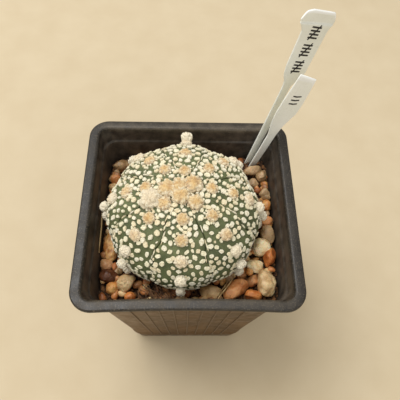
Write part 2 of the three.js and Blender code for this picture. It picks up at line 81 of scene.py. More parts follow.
camera_data = bpy.data.cameras.new("camera")
camera_data.lens = FOCAL_LENGTH
camera_data.sensor_width = 36
camera_data.clip_start = 0.01
camera_data.clip_end = 20
camera = new_object("camera", camera_data)
turn = Matrix.Rotation(CAMERA_SWING, 4, "Z") @ Matrix.Rotation(pi / 2 - CAMERA_RISE, 4, "X")
turn = turn @ Matrix.Rotation(-CAMERA_ROLL, 4, "Z")
backward = Matrix.Translation((0, 0, CAMERA_DISTANCE))
camera.matrix_world = Matrix.Translation(AIM) @ turn @ backward
scene.camera = camera

# Floor and light
# A plain pale warm floor, a broad soft lamp high up to the left, a weaker one in front and a
# pale sky.
FLOOR_TONES = ((206, 190, 160), (201, 184, 153))
SKY_COLOUR = (255, 251, 242)
SKY_STRENGTH = 0.58
PLANT_MIDDLE = Vector((0, 0, 0.06))


def shown(red, green, blue):
    """Linear colour of a colour given as it is seen, from 0 to 255."""
    parts = [value / 255 for value in (red, green, blue)]
    return tuple(p / 12.92 if p <= 0.04045 else ((p + 0.055) / 1.055) ** 2.4 for p in parts)


def put(socket, value):
    """The socket gets the value, or a link where the value is a socket itself."""
    if isinstance(value, bpy.types.NodeSocket):
        socket.id_data.links.new(value, socket)
    else:
        socket.default_value = value


def node(tree, kind, **values):
    """A new node. Names in small letters are its settings, the others its inputs."""
    made = tree.nodes.new(kind)
    for name, value in values.items():
        if name.islower():
            setattr(made, name, value)
        else:
            put(made.inputs[name.replace("_", " ")], value)
    return made


def new_material(name, roughness, **inputs):
    """A material, its node tree and its shader with the named inputs set."""
    material = bpy.data.materials.new(name)
    material.use_nodes = True
    shader = material.node_tree.nodes["Principled BSDF"]
    shader.inputs["Roughness"].default_value = roughness
    for socket, value in inputs.items():
        shader.inputs[socket.replace("_", " ")].default_value = value
    return material, material.node_tree, shader


def grain(tree, scale, detail=4.0, stretched=None):
    """Fractal noise of about 0.3 to 0.7 over the piece's own coordinates."""
    place = node(tree, "ShaderNodeTexCoord").outputs["Object"]
    if stretched:
        place = node(tree, "ShaderNodeMapping", Vector=place, Scale=stretched).outputs[0]
    return node(tree, "ShaderNodeTexNoise", Vector=place, Scale=scale, Detail=detail).outputs[0]


def spread(tree, value, low, high, to_low=0.0, to_high=1.0):
    """The value from low..high spread to to_low..to_high, and held there."""
    return node(
        tree, "ShaderNodeMapRange", Value=value,
        From_Min=low, From_Max=high, To_Min=to_low, To_Max=to_high).outputs["Result"]


def blend(tree, share, first, second):
    """Two colours mixed by a share. A colour is a socket, or as it is seen, from 0 to 255."""
    mixed = node(tree, "ShaderNodeMix", data_type="RGBA")
    put(mixed.inputs[0], share)
    for socket, colour in ((mixed.inputs[6], first), (mixed.inputs[7], second)):
        put(socket, (*shown(*colour), 1) if isinstance(colour, tuple) else colour)
    return mixed.outputs[2]


def toned(tree, value, low, high, first, second, most=1.0):
    """The first colour where the value is low; where it is high, most of the second over it."""
    return blend(tree, spread(tree, value, low, high, 0.0, most), first, second)


def shade(mesh, smooth):
    mesh.polygons.foreach_set("use_smooth", [smooth] * len(mesh.polygons))


def mesh_piece(name, points, faces, material):
    """A mesh object at the origin, shaded smooth."""
    mesh = bpy.data.meshes.new(name)
    mesh.from_pydata([tuple(point) for point in points], [], faces)
    shade(mesh, True)
    mesh.materials.append(material)
    return new_object(name, mesh)


def soft_light(name, place, size, power):
    """A square lamp that faces the plant."""
    data = bpy.data.lights.new(name, "AREA")
    data.size = size
    data.energy = power
    lamp = new_object(name, data)
    lamp.location = place
    lamp.rotation_euler = (PLANT_MIDDLE - Vector(place)).to_track_quat("-Z", "Y").to_euler()


floor_material, tree, shader = new_material("floor", 0.9)
put(shader.inputs["Base Color"], toned(tree, grain(tree, 60.0), 0.3, 0.7, *FLOOR_TONES))
floor_points = [(-2, -2, 0), (2, -2, 0), (2, 2, 0), (-2, 2, 0)]
floor = mesh_piece("floor", floor_points, [(0, 1, 2, 3)], floor_material)
soft_light("high_light", place=(-0.3, 0.2, 0.9), size=0.6, power=7.1)
soft_light("front_light", place=(0.3, -0.8, 0.6), size=0.8, power=1.9)
sky = bpy.data.worlds.new("sky")
sky.use_nodes = True
glow = sky.node_tree.nodes["Background"].inputs
glow["Color"].default_value = (*shown(*SKY_COLOUR), 1)
glow["Strength"].default_value = SKY_STRENGTH
scene.world = sky
scene.view_settings.view_transform = "Standard"

# Pot
# A square nursery pot moulded in thin black polypropylene: a turned-out rim, scuffed and dusty,
# with a painted highlight and reflection towards its inner edge and painted shade on its outer
# face, a stacking step just inside it, and four drain holes through the foot.
POT_HEIGHT = 75 * MM
RIM_HALF = 35 * MM
RIM_CORNER = 6.6 * MM
RIM_WIDTH = 3.5 * MM
RIM_THICKNESS = 1.8 * MM
RIM_OUTER_EDGE = 0.55 * MM
RIM_INNER_EDGE = 1.1 * MM
FRONT_BOW = 0.6 * MM
WALL = 0.8 * MM
FOOT_HALF = 22.5 * MM
POT_FLOOR = 1.6 * MM
STEP_DEPTH = 6 * MM
STEP_INSET = 0.5 * MM
FLUTE_FOOT = 8 * MM
DRAIN_RADIUS = 3.2 * MM
DRAIN_PLACE = 12.5 * MM
DRAIN_SIDES = 40
UNDER_RIM = POT_HEIGHT - RIM_THICKNESS
WALL_TOP_HALF = RIM_HALF - RIM_WIDTH
STEP_Z = POT_HEIGHT - STEP_DEPTH
WALL_SLOPE = (WALL_TOP_HALF - FOOT_HALF) / UNDER_RIM
CORNERS = ((1, 1), (-1, 1), (-1, -1), (1, -1))


def outer_half(z):
    return FOOT_HALF + WALL_SLOPE * z


def outer_corner(z):
    return 5 * MM + z / UNDER_RIM * 0.6 * MM


def inner_half(z):
    return outer_half(z) - (WALL - STEP_INSET if z > STEP_Z else WALL)


def circle(x, y, z, radius, angles):
    return [
        Vector((x + radius * cos(angle), y + radius * sin(angle), z)) for angle in angles]


def rounded_square(half, corner, z, bow=0.0, corner_steps=12, side_steps=24):
    """Points round a square with rounded corners, anticlockwise from the right-hand side."""
    straight = half - corner
    points = []
    for index, (sx, sy) in enumerate(CORNERS):
        angles = [(index + step / corner_steps) * pi / 2 for step in range(corner_steps + 1)]
        points += circle(sx * straight, sy * straight, z, corner, angles)
        nx, ny = CORNERS[(index + 1) % 4]
        start = points[-1]
        end = circle(nx * straight, ny * straight, z, corner, angles[-1:])[0]
        points += [start.lerp(end, step / side_steps) for step in range(1, side_steps)]
    for point in points:
        if point.y < -straight:
            across = min(abs(point.x) / straight, 1)
            point.y += bow * (1 - across * across)
    return points


def bands(start, rings, count):
    """Faces between rings of points, the first point with the number start."""
    faces = []
    for first in range(start, start + (rings - 1) * count, count):
        for step in range(count):
            a, b = first + step, first + (step + 1) % count
            faces.append((a, b, b + count, a + count))
    return faces


def loft(rings):
    """Points and faces of a closed skin over rings of equal counts, its ends closed by fans."""
    count = len(rings[0])
    points = [point for ring in rings for point in ring]
    faces = bands(0, len(rings), count)
    for ring, up in ((0, False), (len(rings) - 1, True)):
        centre = len(points)
        points.append(sum((Vector(point) for point in rings[ring]), Vector()) / count)
        for step in range(count):
            a, b = ring * count + step, ring * count + (step + 1) % count
            faces.append((centre, a, b) if up else (centre, b, a))
    return points, faces


def rim_edge(start, end, half, z, radius, steps):
    """Rings round an edge of the rim between two angles in degrees."""
    rings = []
    for step in range(steps + 1):
        angle = radians(start + (end - start) * step / steps)
        reach = half + radius * cos(angle)
        corner = RIM_CORNER - (RIM_HALF - reach)
        rings.append(rounded_square(reach, corner, z + radius * sin(angle), FRONT_BOW))
    return rings


def wall_ring(z, extra=0.0):
    return rounded_square(outer_half(z) + extra, outer_corner(z), z)


def inside_ring(z, inset=0.0, corner=4.6 * MM, bow=0.0):
    return rounded_square(inner_half(z) - inset, corner, z, bow)


outside_rings = [
    rounded_square(FOOT_HALF - 0.8 * MM, outer_corner(0), 0),
    rounded_square(FOOT_HALF - 0.2 * MM, outer_corner(0), 0.2 * MM),
    wall_ring(0.8 * MM),
    wall_ring(FLUTE_FOOT - 0.5 * MM),
    wall_ring(FLUTE_FOOT, 0.22 * MM),
    wall_ring(FLUTE_FOOT + 0.5 * MM),
    wall_ring(UNDER_RIM / 2),
    wall_ring(UNDER_RIM - 1 * MM),
    rounded_square(WALL_TOP_HALF + 0.3 * MM, outer_corner(UNDER_RIM), UNDER_RIM, FRONT_BOW / 2),
]
edge_half = RIM_HALF - RIM_OUTER_EDGE
edge_top = POT_HEIGHT - RIM_OUTER_EDGE
edge_rings = [
    *rim_edge(-90, 0, edge_half, UNDER_RIM + RIM_OUTER_EDGE, RIM_OUTER_EDGE, 3),
    *rim_edge(0, 10, edge_half, edge_top, RIM_OUTER_EDGE, 1),
]
lip_half = WALL_TOP_HALF - 0.1 * MM + RIM_INNER_EDGE
rim_rings = [
    *rim_edge(25, 90, edge_half, edge_top, RIM_OUTER_EDGE, 4),
    *rim_edge(90, 170, lip_half, POT_HEIGHT - RIM_INNER_EDGE, RIM_INNER_EDGE, 6),
]
low_corner = outer_corner(0) - WALL
inside_rings = [
    inside_ring(POT_HEIGHT - 2 * MM, bow=FRONT_BOW / 2),
    inside_ring(STEP_Z + 0.7 * MM),
    inside_ring(STEP_Z + 0.3 * MM, 0.12 * MM),
    inside_ring(STEP_Z + 0.05 * MM, 0.42 * MM),
    inside_ring(STEP_Z - 0.3 * MM),
    inside_ring(40 * MM, corner=outer_corner(40 * MM) - WALL),
    inside_ring(POT_FLOOR + 1 * MM, corner=low_corner),
    inside_ring(POT_FLOOR, 0.8 * MM, low_corner),
]


def painted(tree, name, part="Fac"):
    """The values stored on the mesh under a name, for its material."""
    return node(tree, "ShaderNodeAttribute", attribute_name=name).outputs[part]


def cover(tree, shader, colour, height, depth, strength=1.0):
    """The shader's colour, and bumps from a height of 0 to 1 that stands for a depth."""
    bump = node(tree, "ShaderNodeBump", Height=height, Distance=depth, Strength=strength)
    put(shader.inputs["Base Color"], colour)
    put(shader.inputs["Normal"], bump.outputs["Normal"])


def store(mesh, name, kind, values):
    """A named value for each point of the mesh."""
    field = {"FLOAT_VECTOR": "vector", "FLOAT_COLOR": "color"}.get(kind, "value")
    mesh.attributes.new(name, kind, "POINT").data.foreach_set(field, values)


pot_material, tree, shader = new_material("pot_plastic", 0.4, Specular_IOR_Level=0.4)
side = painted(tree, "side")
dust = grain(tree, 330.0, 6.0)
fine_dust = grain(tree, 2400.0, 3.0)
outside = toned(tree, grain(tree, 70.0, 5.0), 0.35, 0.68, (76, 54, 30), (100, 72, 40))
outside = toned(tree, fine_dust, 0.54, 0.7, outside, (118, 91, 60), 0.35)
# the edge tone, for the rim's outer face, is darker than the rim: a painted shade
edge, clean_rim, rim_wear_and_highlight, inside = (
    toned(tree, dust, 0.35, 0.68, *tones) for tones in (
        ((16, 14, 12), (38, 32, 26)), ((22, 19, 15), (38, 33, 27)),
        ((62, 54, 44), (96, 86, 71)), ((46, 41, 36), (80, 71, 61))))
# the paler rim tone mixed in here is part wear, part painted highlight and reflection
rim = blend(tree, painted(tree, "worn"), clean_rim, rim_wear_and_highlight)
rim = toned(tree, fine_dust, 0.54, 0.68, rim, (110, 99, 83), 0.5)
inside = toned(tree, fine_dust, 0.55, 0.72, inside, (110, 97, 82), 0.3)
colour = toned(tree, side, 0.0, 0.25, outside, edge)
colour = toned(tree, side, 0.25, 0.5, colour, rim)
colour = toned(tree, side, 0.55, 0.95, colour, inside)
put(shader.inputs["Roughness"], spread(tree, dust, 0.3, 0.7, 0.34, 0.55))
cover(tree, shader, colour, fine_dust, 0.05 * MM, 0.5)

# the value "side" runs from the outside over the rim to the inside; on the rim's outer face it
# gives the darker edge tone, a painted shade
pot_zones = ((outside_rings, 0.0), (edge_rings, 0.25), (rim_rings, 0.5), (inside_rings, 1.0))
pot_rings = [ring for rings, _ in pot_zones for ring in rings]
pot = mesh_piece("pot_shell", *loft(pot_rings), pot_material)
sides = [value for rings, value in pot_zones for ring in rings for point in ring]
store(pot.data, "side", "FLOAT", [*sides, 0.0, 1.0])
# the rim is painted paler towards its inner edge, most on the back, less on the front and least on
# the sides: partly wear, partly a painted highlight and reflection
wear_and_highlight_values = []
for point in pot.data.vertices:
    x, y, z = point.co
    inward = min(max((RIM_HALF - max(abs(x), abs(y))) / RIM_WIDTH, 0), 1)
    across = min(max((abs(y) - abs(x)) / (4 * MM), 0), 1) * (1 if y > 0 else 0.55)
    wear_and_highlight_values.append(inward ** 1.5 * (0.12 + 0.6 * across) + 0.2 * across)
store(pot.data, "worn", "FLOAT", wear_and_highlight_values)


def settle(piece):
    """The piece's modifiers are made real in its mesh and removed."""
    evaluated = piece.evaluated_get(bpy.context.evaluated_depsgraph_get())
    old = piece.data
    piece.data = bpy.data.meshes.new_from_object(evaluated)
    piece.modifiers.clear()
    bpy.data.meshes.remove(old)
    piece.data.name = piece.name


drain_angles = [step * tau / DRAIN_SIDES for step in range(DRAIN_SIDES)]
for sx, sy in CORNERS:
    drain_rings = [
        circle(sx * DRAIN_PLACE, sy * DRAIN_PLACE, z, DRAIN_RADIUS, drain_angles)
        for z in (-2 * MM, 4 * MM)
    ]
    drain = mesh_piece("drain", *loft(drain_rings), pot_material)
    cut = pot.modifiers.new("drain", "BOOLEAN")
    cut.operation = "DIFFERENCE"
    cut.solver = "EXACT"
    cut.object = drain
    settle(pot)
    bpy.data.objects.remove(drain)
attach(pot, "root")
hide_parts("pot")

# Raised lines
# Nine low ribs down each wall, moulded with the pot. They fan out with the wall, from a level
# line just above the foot to the underside of the rim.
FLUTES_PER_SIDE = 9
FLUTE_PITCH = 5 * MM
FLUTE_RADIUS = 0.3 * MM
FLUTE_STANDS_OUT = 0.06 * MM


def new_tree(name, **sockets):
    """A geometry node tree with a geometry input and output and the named inputs."""
    tree = bpy.data.node_groups.new(name, "GeometryNodeTree")
    for socket, kind in {"Geometry": "Geometry", **sockets, "Material": "Material"}.items():
        tree.interface.new_socket(socket, in_out="INPUT", socket_type="NodeSocket" + kind)
    tree.interface.new_socket("Geometry", in_out="OUTPUT", socket_type="NodeSocketGeometry")
    return tree, tree.nodes.new("NodeGroupInput").outputs


def stored(tree, name, kind):
    """The values of a named attribute."""
    attribute = node(tree, "GeometryNodeInputNamedAttribute", data_type=kind, Name=name)
    return attribute.outputs["Attribute"]


def maths(tree, operation, *values):
    """The result of a reckoning with the values, each a socket or a number."""
    made = node(tree, "ShaderNodeMath", operation=operation)
    for socket, value in zip(made.inputs, values):
        put(socket, value)
    return made.outputs[0]


def end_tree(tree, given, kind, **inputs):
    """The tree, with a node that makes the shapes, which are made real in their material."""
    made = node(tree, "GeometryNode" + kind, **inputs).outputs[0]
    real = node(tree, "GeometryNodeRealizeInstances", Geometry=made).outputs[0]
    last = node(tree, "GeometryNodeSetMaterial", Geometry=real, Material=given["Material"])
    node(tree, "NodeGroupOutput", Geometry=last.outputs[0])
    return tree


def grow(piece, tree, **values):
    """The tree is run on the piece with its named inputs, and the result made real."""
    modifier = piece.modifiers.new(tree.name, "NODES")
    modifier.node_group = tree
    for item in tree.interface.items_tree:
        if item.in_out == "INPUT" and item.name in values:
            modifier[item.identifier] = values[item.name]
    settle(piece)


tree, given = new_tree("strands", Radius="Float", Sides="Int")
lines = node(tree, "GeometryNodeMeshToCurve", Mesh=given["Geometry"])
section = node(tree, "GeometryNodeCurvePrimitiveCircle", Resolution=given["Sides"], Radius=1.0)
width = maths(tree, "MULTIPLY", stored(tree, "girth", "FLOAT"), given["Radius"])
strand_tree = end_tree(
    tree, given, "CurveToMesh",
    Curve=lines.outputs[0], Profile_Curve=section.outputs[0], Scale=width, Fill_Caps=True)


def strands(name, paths, radius, sides, material):
    """Tubes along paths, each a list of points with the share of the radius there."""
    points = []
    girths = []
    edges = []
    for path in paths:
        edges += [(len(points) + step, len(points) + step + 1) for step in range(len(path) - 1)]
        points += [tuple(point) for point, _ in path]
        girths += [girth for _, girth in path]
    mesh = bpy.data.meshes.new(name)
    mesh.from_pydata(points, edges, [])
    store(mesh, "girth", "FLOAT", girths)
    piece = new_object(name, mesh)
    grow(piece, strand_tree, Radius=radius, Sides=sides, Material=material)
    shade(piece.data, True)
    return piece


def grainy(name, roughness, pattern, limits, tones, depth, strength=1.0):
    """A material in two tones over one grain, with bumps of the same grain."""
    material, tree, shader = new_material(name, roughness)
    height = grain(tree, *pattern)
    cover(tree, shader, toned(tree, height, *limits, *tones), height, depth, strength)
    return material


flute_tones = ((78, 58, 37), (108, 82, 54))
flute_material = grainy(
    "pot_plastic_line", 0.42, (900.0,), (0.35, 0.7), flute_tones, 0.03 * MM, 0.5)
flute_paths = []
for wall in range(4):
    turn = Matrix.Rotation(wall * pi / 2, 3, "Z")
    for line in range(FLUTES_PER_SIDE):
        across = (line - (FLUTES_PER_SIDE - 1) / 2) * FLUTE_PITCH
        low_face = -outer_half(FLUTE_FOOT) - FLUTE_STANDS_OUT
        high_face = -outer_half(UNDER_RIM) - FLUTE_STANDS_OUT
        low = Vector((across * FOOT_HALF / WALL_TOP_HALF, low_face, FLUTE_FOOT))
        high = Vector((across, high_face, UNDER_RIM))
        flute_paths.append([(turn @ low.lerp(high, step / 4), 1.0) for step in range(5)])
raised_lines = strands("raised_lines", flute_paths, FLUTE_RADIUS, 8, flute_material)
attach(raised_lines, "root")

# Potting soil
# Dark, gritty mix that fills the pot below the gravel. It shows only through the drain holes.
soil_tones = ((34, 24, 17), (92, 70, 50))
soil_material = grainy(
    "potting_mix", 0.95, (1500.0, 8.0), (0.35, 0.7), soil_tones, 0.6 * MM)
frame["nodes"]["substrate"].data.materials.clear()
frame["nodes"]["substrate"].data.materials.append(soil_material)

# Gravel
# River gravel of mixed sizes round the plant: quartz, sandstone and jasper, worn smooth but
# still faceted, on a bed of dark grit. The larger stones are placed one by one, as in the pot.
GRAVEL_TOP = 61.2 * MM
GRAVEL_SLOPE = 0.035
SOIL_TOP = 52 * MM
BED_INSET = 0.4 * MM
STONE_TONES = {
    "cream": ((252, 238, 200), (238, 208, 154)),
    "veined": ((230, 202, 154), (184, 148, 100)),
    "amber": ((230, 178, 108), (190, 122, 60)),
    "honey": ((228, 184, 118), (162, 106, 52)),
    "orange": ((212, 136, 70), (162, 86, 38)),
    "rust": ((176, 108, 58), (126, 70, 34)),
    "tan": ((222, 160, 104), (188, 118, 64)),
    "chocolate": ((102, 55, 26), (66, 34, 14)),
    "sand": ((228, 194, 142), (192, 150, 98)),
    "pink": ((200, 152, 108), (162, 114, 70)),
    "grey": ((192, 160, 118), (144, 114, 78)),
    "brown": ((200, 144, 92), (150, 100, 60)),
}
# x, y, length, width, height in millimetres, turn in degrees and tone
STONES = [
    (-25.1, 24.7, 5.6, 4.4, 4.4, 10, "grey"),
    (-26.7, 18.5, 4.0, 3.6, 3.8, 50, "tan"),
    (-27.3, 15.1, 3.4, 3.2, 3.4, 80, "sand"),
    (-25.9, -9.1, 10.6, 5.2, 5.0, 88, "honey"),
    (-26.9, -15.1, 4.4, 4.2, 4.2, 5, "pink"),
    (-26.0, -19.1, 6.2, 4.4, 4.4, -8, "chocolate"),
    (-20.0, -21.4, 6.4, 5.6, 5.6, 40, "veined"),
    (-24.5, -23.1, 4.3, 4.0, 3.8, 20, "amber"),
    (-18.6, -26.0, 3.8, 3.2, 3.0, 0, "orange"),
    (7.2, -24.8, 7.4, 5.4, 3.8, -6, "sand"),
    (15.1, -24.0, 9.4, 5.4, 4.8, 38, "tan"),
    (21.1, -21.3, 4.8, 3.9, 4.2, 60, "brown"),
    (20.8, -25.9, 5.6, 3.8, 4.0, -4, "orange"),
    (25.2, -22.1, 9.6, 6.0, 5.8, 86, "veined"),
    (21.7, -16.3, 5.6, 4.4, 4.8, -15, "cream"),
    (27.0, -13.2, 6.6, 4.3, 5.2, 66, "orange"),
    (24.3, -9.6, 6.2, 6.0, 5.8, 30, "cream"),
    (26.8, -4.9, 6.8, 5.0, 5.6, 80, "grey"),
    (26.9, 0.4, 4.9, 4.2, 4.8, -20, "tan"),
    (27.6, 7.0, 4.8, 3.2, 4.0, 85, "amber"),
    (27.3, 11.4, 4.0, 3.6, 4.2, 30, "grey"),
    (23.6, 16.2, 4.3, 3.6, 3.6, 0, "grey"),
    (26.7, 19.4, 5.0, 4.1, 4.6, 80, "grey"),
    (23.6, 21.4, 6.8, 4.2, 4.6, 10, "grey"),
]
# the loose stones between them, in millimetres; the small ones lie in a ring round the plant
FILL_STONES = 44
FILL_LENGTH = 3.4
FILL_LONGER = 1.8
FILL_EDGE = 2.2
FILL_SPACING = 0.36
CLEAR_OF_PLANT = 20
SMALL_STONES = 230
SMALL_LENGTH = 2.0
SMALL_LONGER = 1.6
SMALL_RING = 19.5
SMALL_RING_WIDTH = 12
FILL_TONES = [
    "sand", "tan", "brown", "honey", "grey", "rust", "grey", "sand", "brown", "amber", "brown"]
# the draws that a listed stone takes up: one for each corner of its solid
LARGE_STONE = 5
LARGE_STONE_DRAWS = 42
SMALL_STONE_DRAWS = 12
# the bed of grit under them
BED_SHOULDER = 2.2 * MM
BED_ROWS = 34
BED_ROUGHNESS = 0.9 * MM
GRAINS_PER_SQUARE_METRE = 9e5
# the plant's axis, a little off the middle of the pot
PLANT_X = -1.65 * MM
PLANT_Y = -1.3 * MM


def bed_top(x):
    """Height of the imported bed, which rises a little to the right."""
    return GRAVEL_TOP + GRAVEL_SLOPE * x


def random_source(seed):
    """Repeatable random numbers from 0 to 1."""
    state = seed
    while True:
        state = state * 16807 % 2147483647
        yield state / 2147483647


def ball_directions(subdivisions):
    """Unit directions and faces of an even ball."""
    ball = bmesh.new()
    bmesh.ops.create_icosphere(ball, subdivisions=subdivisions, radius=1)
    directions = np.array([tuple(corner.co) for corner in ball.verts])
    faces = [tuple(corner.index for corner in face.verts) for face in ball.faces]
    ball.free()
    return directions, faces


def worn_stone(directions, chance, flats=15, sharpness=8.0):
    """A worn stone one unit across, with soft flats where it has chipped."""
    normals = chance.normal(size=(flats, 3))
    normals /= np.linalg.norm(normals, axis=1)[:, None]
    depths = 0.4 + 0.15 * chance.random(flats)
    facing = np.clip(directions @ normals.T, 0.01, None) / depths
    reach = (facing ** sharpness).sum(axis=1) ** (-1 / sharpness)
    shape = directions * np.minimum(reach, 0.56)[:, None]
    return (shape - shape.min(axis=0)) / np.ptp(shape, axis=0) - 0.5


def two_toned(tree, value, low, high):
    """From the under-tone to the tone that are stored on the mesh."""
    first, second = (painted(tree, name, "Color") for name in ("under_tone", "tone"))
    return toned(tree, value, low, high, first, second)


stone_material, tree, shader = new_material(
    "gravel_stone", 0.5, Subsurface_Weight=0.12, Subsurface_Scale=0.8 * MM)
mottle = grain(tree, 420.0, 6.0)
speck = grain(tree, 2600.0, 4.0)
vein = maths(tree, "COMPARE", grain(tree, 230.0, 5.0), 0.47, 0.007)
colour = two_toned(tree, mottle, 0.38, 0.66)
colour = toned(tree, speck, 0.6, 0.72, colour, (96, 58, 32), 0.4)
colour = toned(tree, vein, 0.0, 1.0, colour, (120, 80, 46), 0.45)
put(shader.inputs["Roughness"], spread(tree, mottle, 0.3, 0.7, 0.34, 0.6))
cover(tree, shader, colour, speck, 0.12 * MM, 0.7)


def paint_tones(mesh, tones):
    """Each point's tone and under-tone, as colours of the mesh."""
    for index, name in enumerate(("tone", "under_tone")):
        values = np.array([(*shown(*pair[index]), 1.0) for pair in tones], np.float32)
        store(mesh, name, "FLOAT_COLOR", values.ravel())


large_points = []
large_faces = []
large_tones = []
chance = np.random.default_rng(31)
directions, ball_faces = ball_directions(5)
for x, y, length, width, height, turned, tone_name in STONES:
    shape = worn_stone(directions, chance) * (length, width, height)
    tilt = Matrix.Rotation(0.25 * chance.normal(), 3, "X")
    shape = shape @ np.array(Matrix.Rotation(radians(turned), 3, "Z") @ tilt).T
    for index, direction in enumerate(directions):
        lump = noise.fractal(Vector(direction) * 2.2 + Vector((x, y, 0)), 1.0, 2.0, 4)
        shape[index] *= 1 + 0.06 * lump
    shape += (x, y, bed_top(x * MM) / MM + 0.38 * height)
    start = len(large_points)
    large_faces += [tuple(corner + start for corner in face) for face in ball_faces]
    large_points += (shape * MM).tolist()
    large_tones += [STONE_TONES[tone_name]] * len(shape)
large_stones = mesh_piece("large_stones", large_points, large_faces, stone_material)
paint_tones(large_stones.data, large_tones)

tree, given = new_tree("scatter", Shapes="Collection")
shapes = node(
    tree, "GeometryNodeCollectionInfo",
    Collection=given["Shapes"], Separate_Children=True, Reset_Children=True)
turn = node(tree, "FunctionNodeEulerToRotation", Euler=stored(tree, "turn", "FLOAT_VECTOR"))
scatter_tree = end_tree(
    tree, given, "InstanceOnPoints",
    Points=given["Geometry"], Instance=shapes.outputs[0], Pick_Instance=True,
    Instance_Index=stored(tree, "pick", "INT"), Rotation=turn.outputs[0],
    Scale=stored(tree, "size", "FLOAT_VECTOR"))


def scatter(name, places, shapes, material):
    """Copies of the shapes at places: point, turn matrix, size and tones."""
    points, turns, sizes, tones = zip(*places)
    mesh = bpy.data.meshes.new(name)
    mesh.from_pydata([tuple(point) for point in points], [], [])
    store(mesh, "turn", "FLOAT_VECTOR", [value for turn in turns for value in turn.to_euler()])
    store(mesh, "size", "FLOAT_VECTOR", [value for size in sizes for value in size])
    store(mesh, "pick", "INT", [index * 7 % len(shapes) for index in range(len(places))])
    paint_tones(mesh, tones)
    collection = bpy.data.collections.new(name + "_shapes")
    scene.collection.children.link(collection)
    for index, (points, faces) in enumerate(shapes):
        shape = mesh_piece(f"{name}_shape_{index:02d}", points, faces, material)
        scene.collection.objects.unlink(shape)
        collection.objects.link(shape)
    piece = new_object(name, mesh)
    grow(piece, scatter_tree, Shapes=collection, Material=material)
    for shape in list(collection.objects):
        bpy.data.objects.remove(shape)
    bpy.data.collections.remove(collection)
    return piece


# loose stones thrown between the large ones, which take up the first draws
random = random_source(907)
for stone in STONES:
    for _ in range(LARGE_STONE_DRAWS if stone[2] > LARGE_STONE else SMALL_STONE_DRAWS):
        next(random)
placed = [(stone[0], stone[1], stone[2]) for stone in STONES]
fill_reach = (inner_half(GRAVEL_TOP) - BED_INSET) / MM - FILL_EDGE
fill_places = []
while len(fill_places) < FILL_STONES:
    x = (2 * next(random) - 1) * fill_reach
    y = (2 * next(random) - 1) * fill_reach
    length = FILL_LENGTH + FILL_LONGER * next(random)
    turn = Matrix.Rotation(radians(180 * next(random)), 3, "Z")
    apart = all(
        hypot(x - other[0], y - other[1]) > (length + other[2]) * FILL_SPACING
        for other in placed)
    if apart and hypot(x - PLANT_X / MM, y - PLANT_Y / MM) > CLEAR_OF_PLANT:
        placed.append((x, y, length))
        size = Vector((length, length * 0.8, length * 0.75)) * MM
        tones = STONE_TONES[FILL_TONES[len(fill_places) % len(FILL_TONES)]]
        place = Vector((x * MM, y * MM, bed_top(x * MM) + 0.5 * MM))
        fill_places.append((place, turn, size, tones))
for _ in range(SMALL_STONES):
    ring = SMALL_RING + SMALL_RING_WIDTH * next(random)
    angle = tau * next(random)
    x, y = (
        min(max(ring * share * 1.15 + middle / MM, -fill_reach - 1), fill_reach + 1)
        for share, middle in ((cos(angle), PLANT_X), (sin(angle), PLANT_Y)))
    length = (SMALL_LENGTH + SMALL_LONGER * next(random)) * MM
    size = Vector((length, length * 0.8, length * 0.7))
    turn = Matrix.Rotation(tau * next(random), 3, "Z")
    turn = turn @ Matrix.Rotation(next(random), 3, "X")
    tones = STONE_TONES[FILL_TONES[int(next(random) * len(FILL_TONES))]]
    place = Vector((x * MM, y * MM, bed_top(x * MM) + (0.2 + 1.4 * next(random)) * MM))
    fill_places.append((place, turn, size, tones))
directions, ball_faces = ball_directions(3)
fill_shapes = [(worn_stone(directions, chance, 11, 7.0).tolist(), ball_faces) for _ in range(7)]
fill_stones = scatter("fill_stones", fill_places, fill_shapes, stone_material)

# the bed of dark grit, uneven on top, with loose grains over it
grit_tones = ((30, 19, 13), (104, 72, 46))
grit_material = grainy("grit", 0.9, (1700.0, 8.0), (0.36, 0.7), grit_tones, 0.5 * MM)
bed_half = inner_half(GRAVEL_TOP) - BED_INSET
bed_corner = outer_corner(GRAVEL_TOP) - WALL
bed_rings = [
    rounded_square(inner_half(SOIL_TOP) - BED_INSET, bed_corner, SOIL_TOP + 0.3 * MM),
    rounded_square(bed_half, bed_corner, GRAVEL_TOP - BED_SHOULDER),
]
for step in range(BED_ROWS):
    share = 1 - step / BED_ROWS
    ring = rounded_square(bed_half * share, bed_corner * share, 0)
    for point in ring:
        unevenness = noise.fractal(point * 420, 1.0, 2.0, 4)
        point.z = bed_top(point.x) - BED_ROUGHNESS + BED_ROUGHNESS * unevenness
    bed_rings.append(ring)
bed = mesh_piece("grit_bed", *loft(bed_rings), grit_material)
FULL_TURN = 6.28


def random_value(tree, given, kind, low, high):
    """A number or vector from low to high for each point."""
    first = 0 if kind == "FLOAT_VECTOR" else 2
    drawn = node(tree, "FunctionNodeRandomValue", data_type=kind, Seed=given["Seed"])
    put(drawn.inputs[first], low)
    put(drawn.inputs[first + 1], high)
    return drawn.outputs[first // 2]


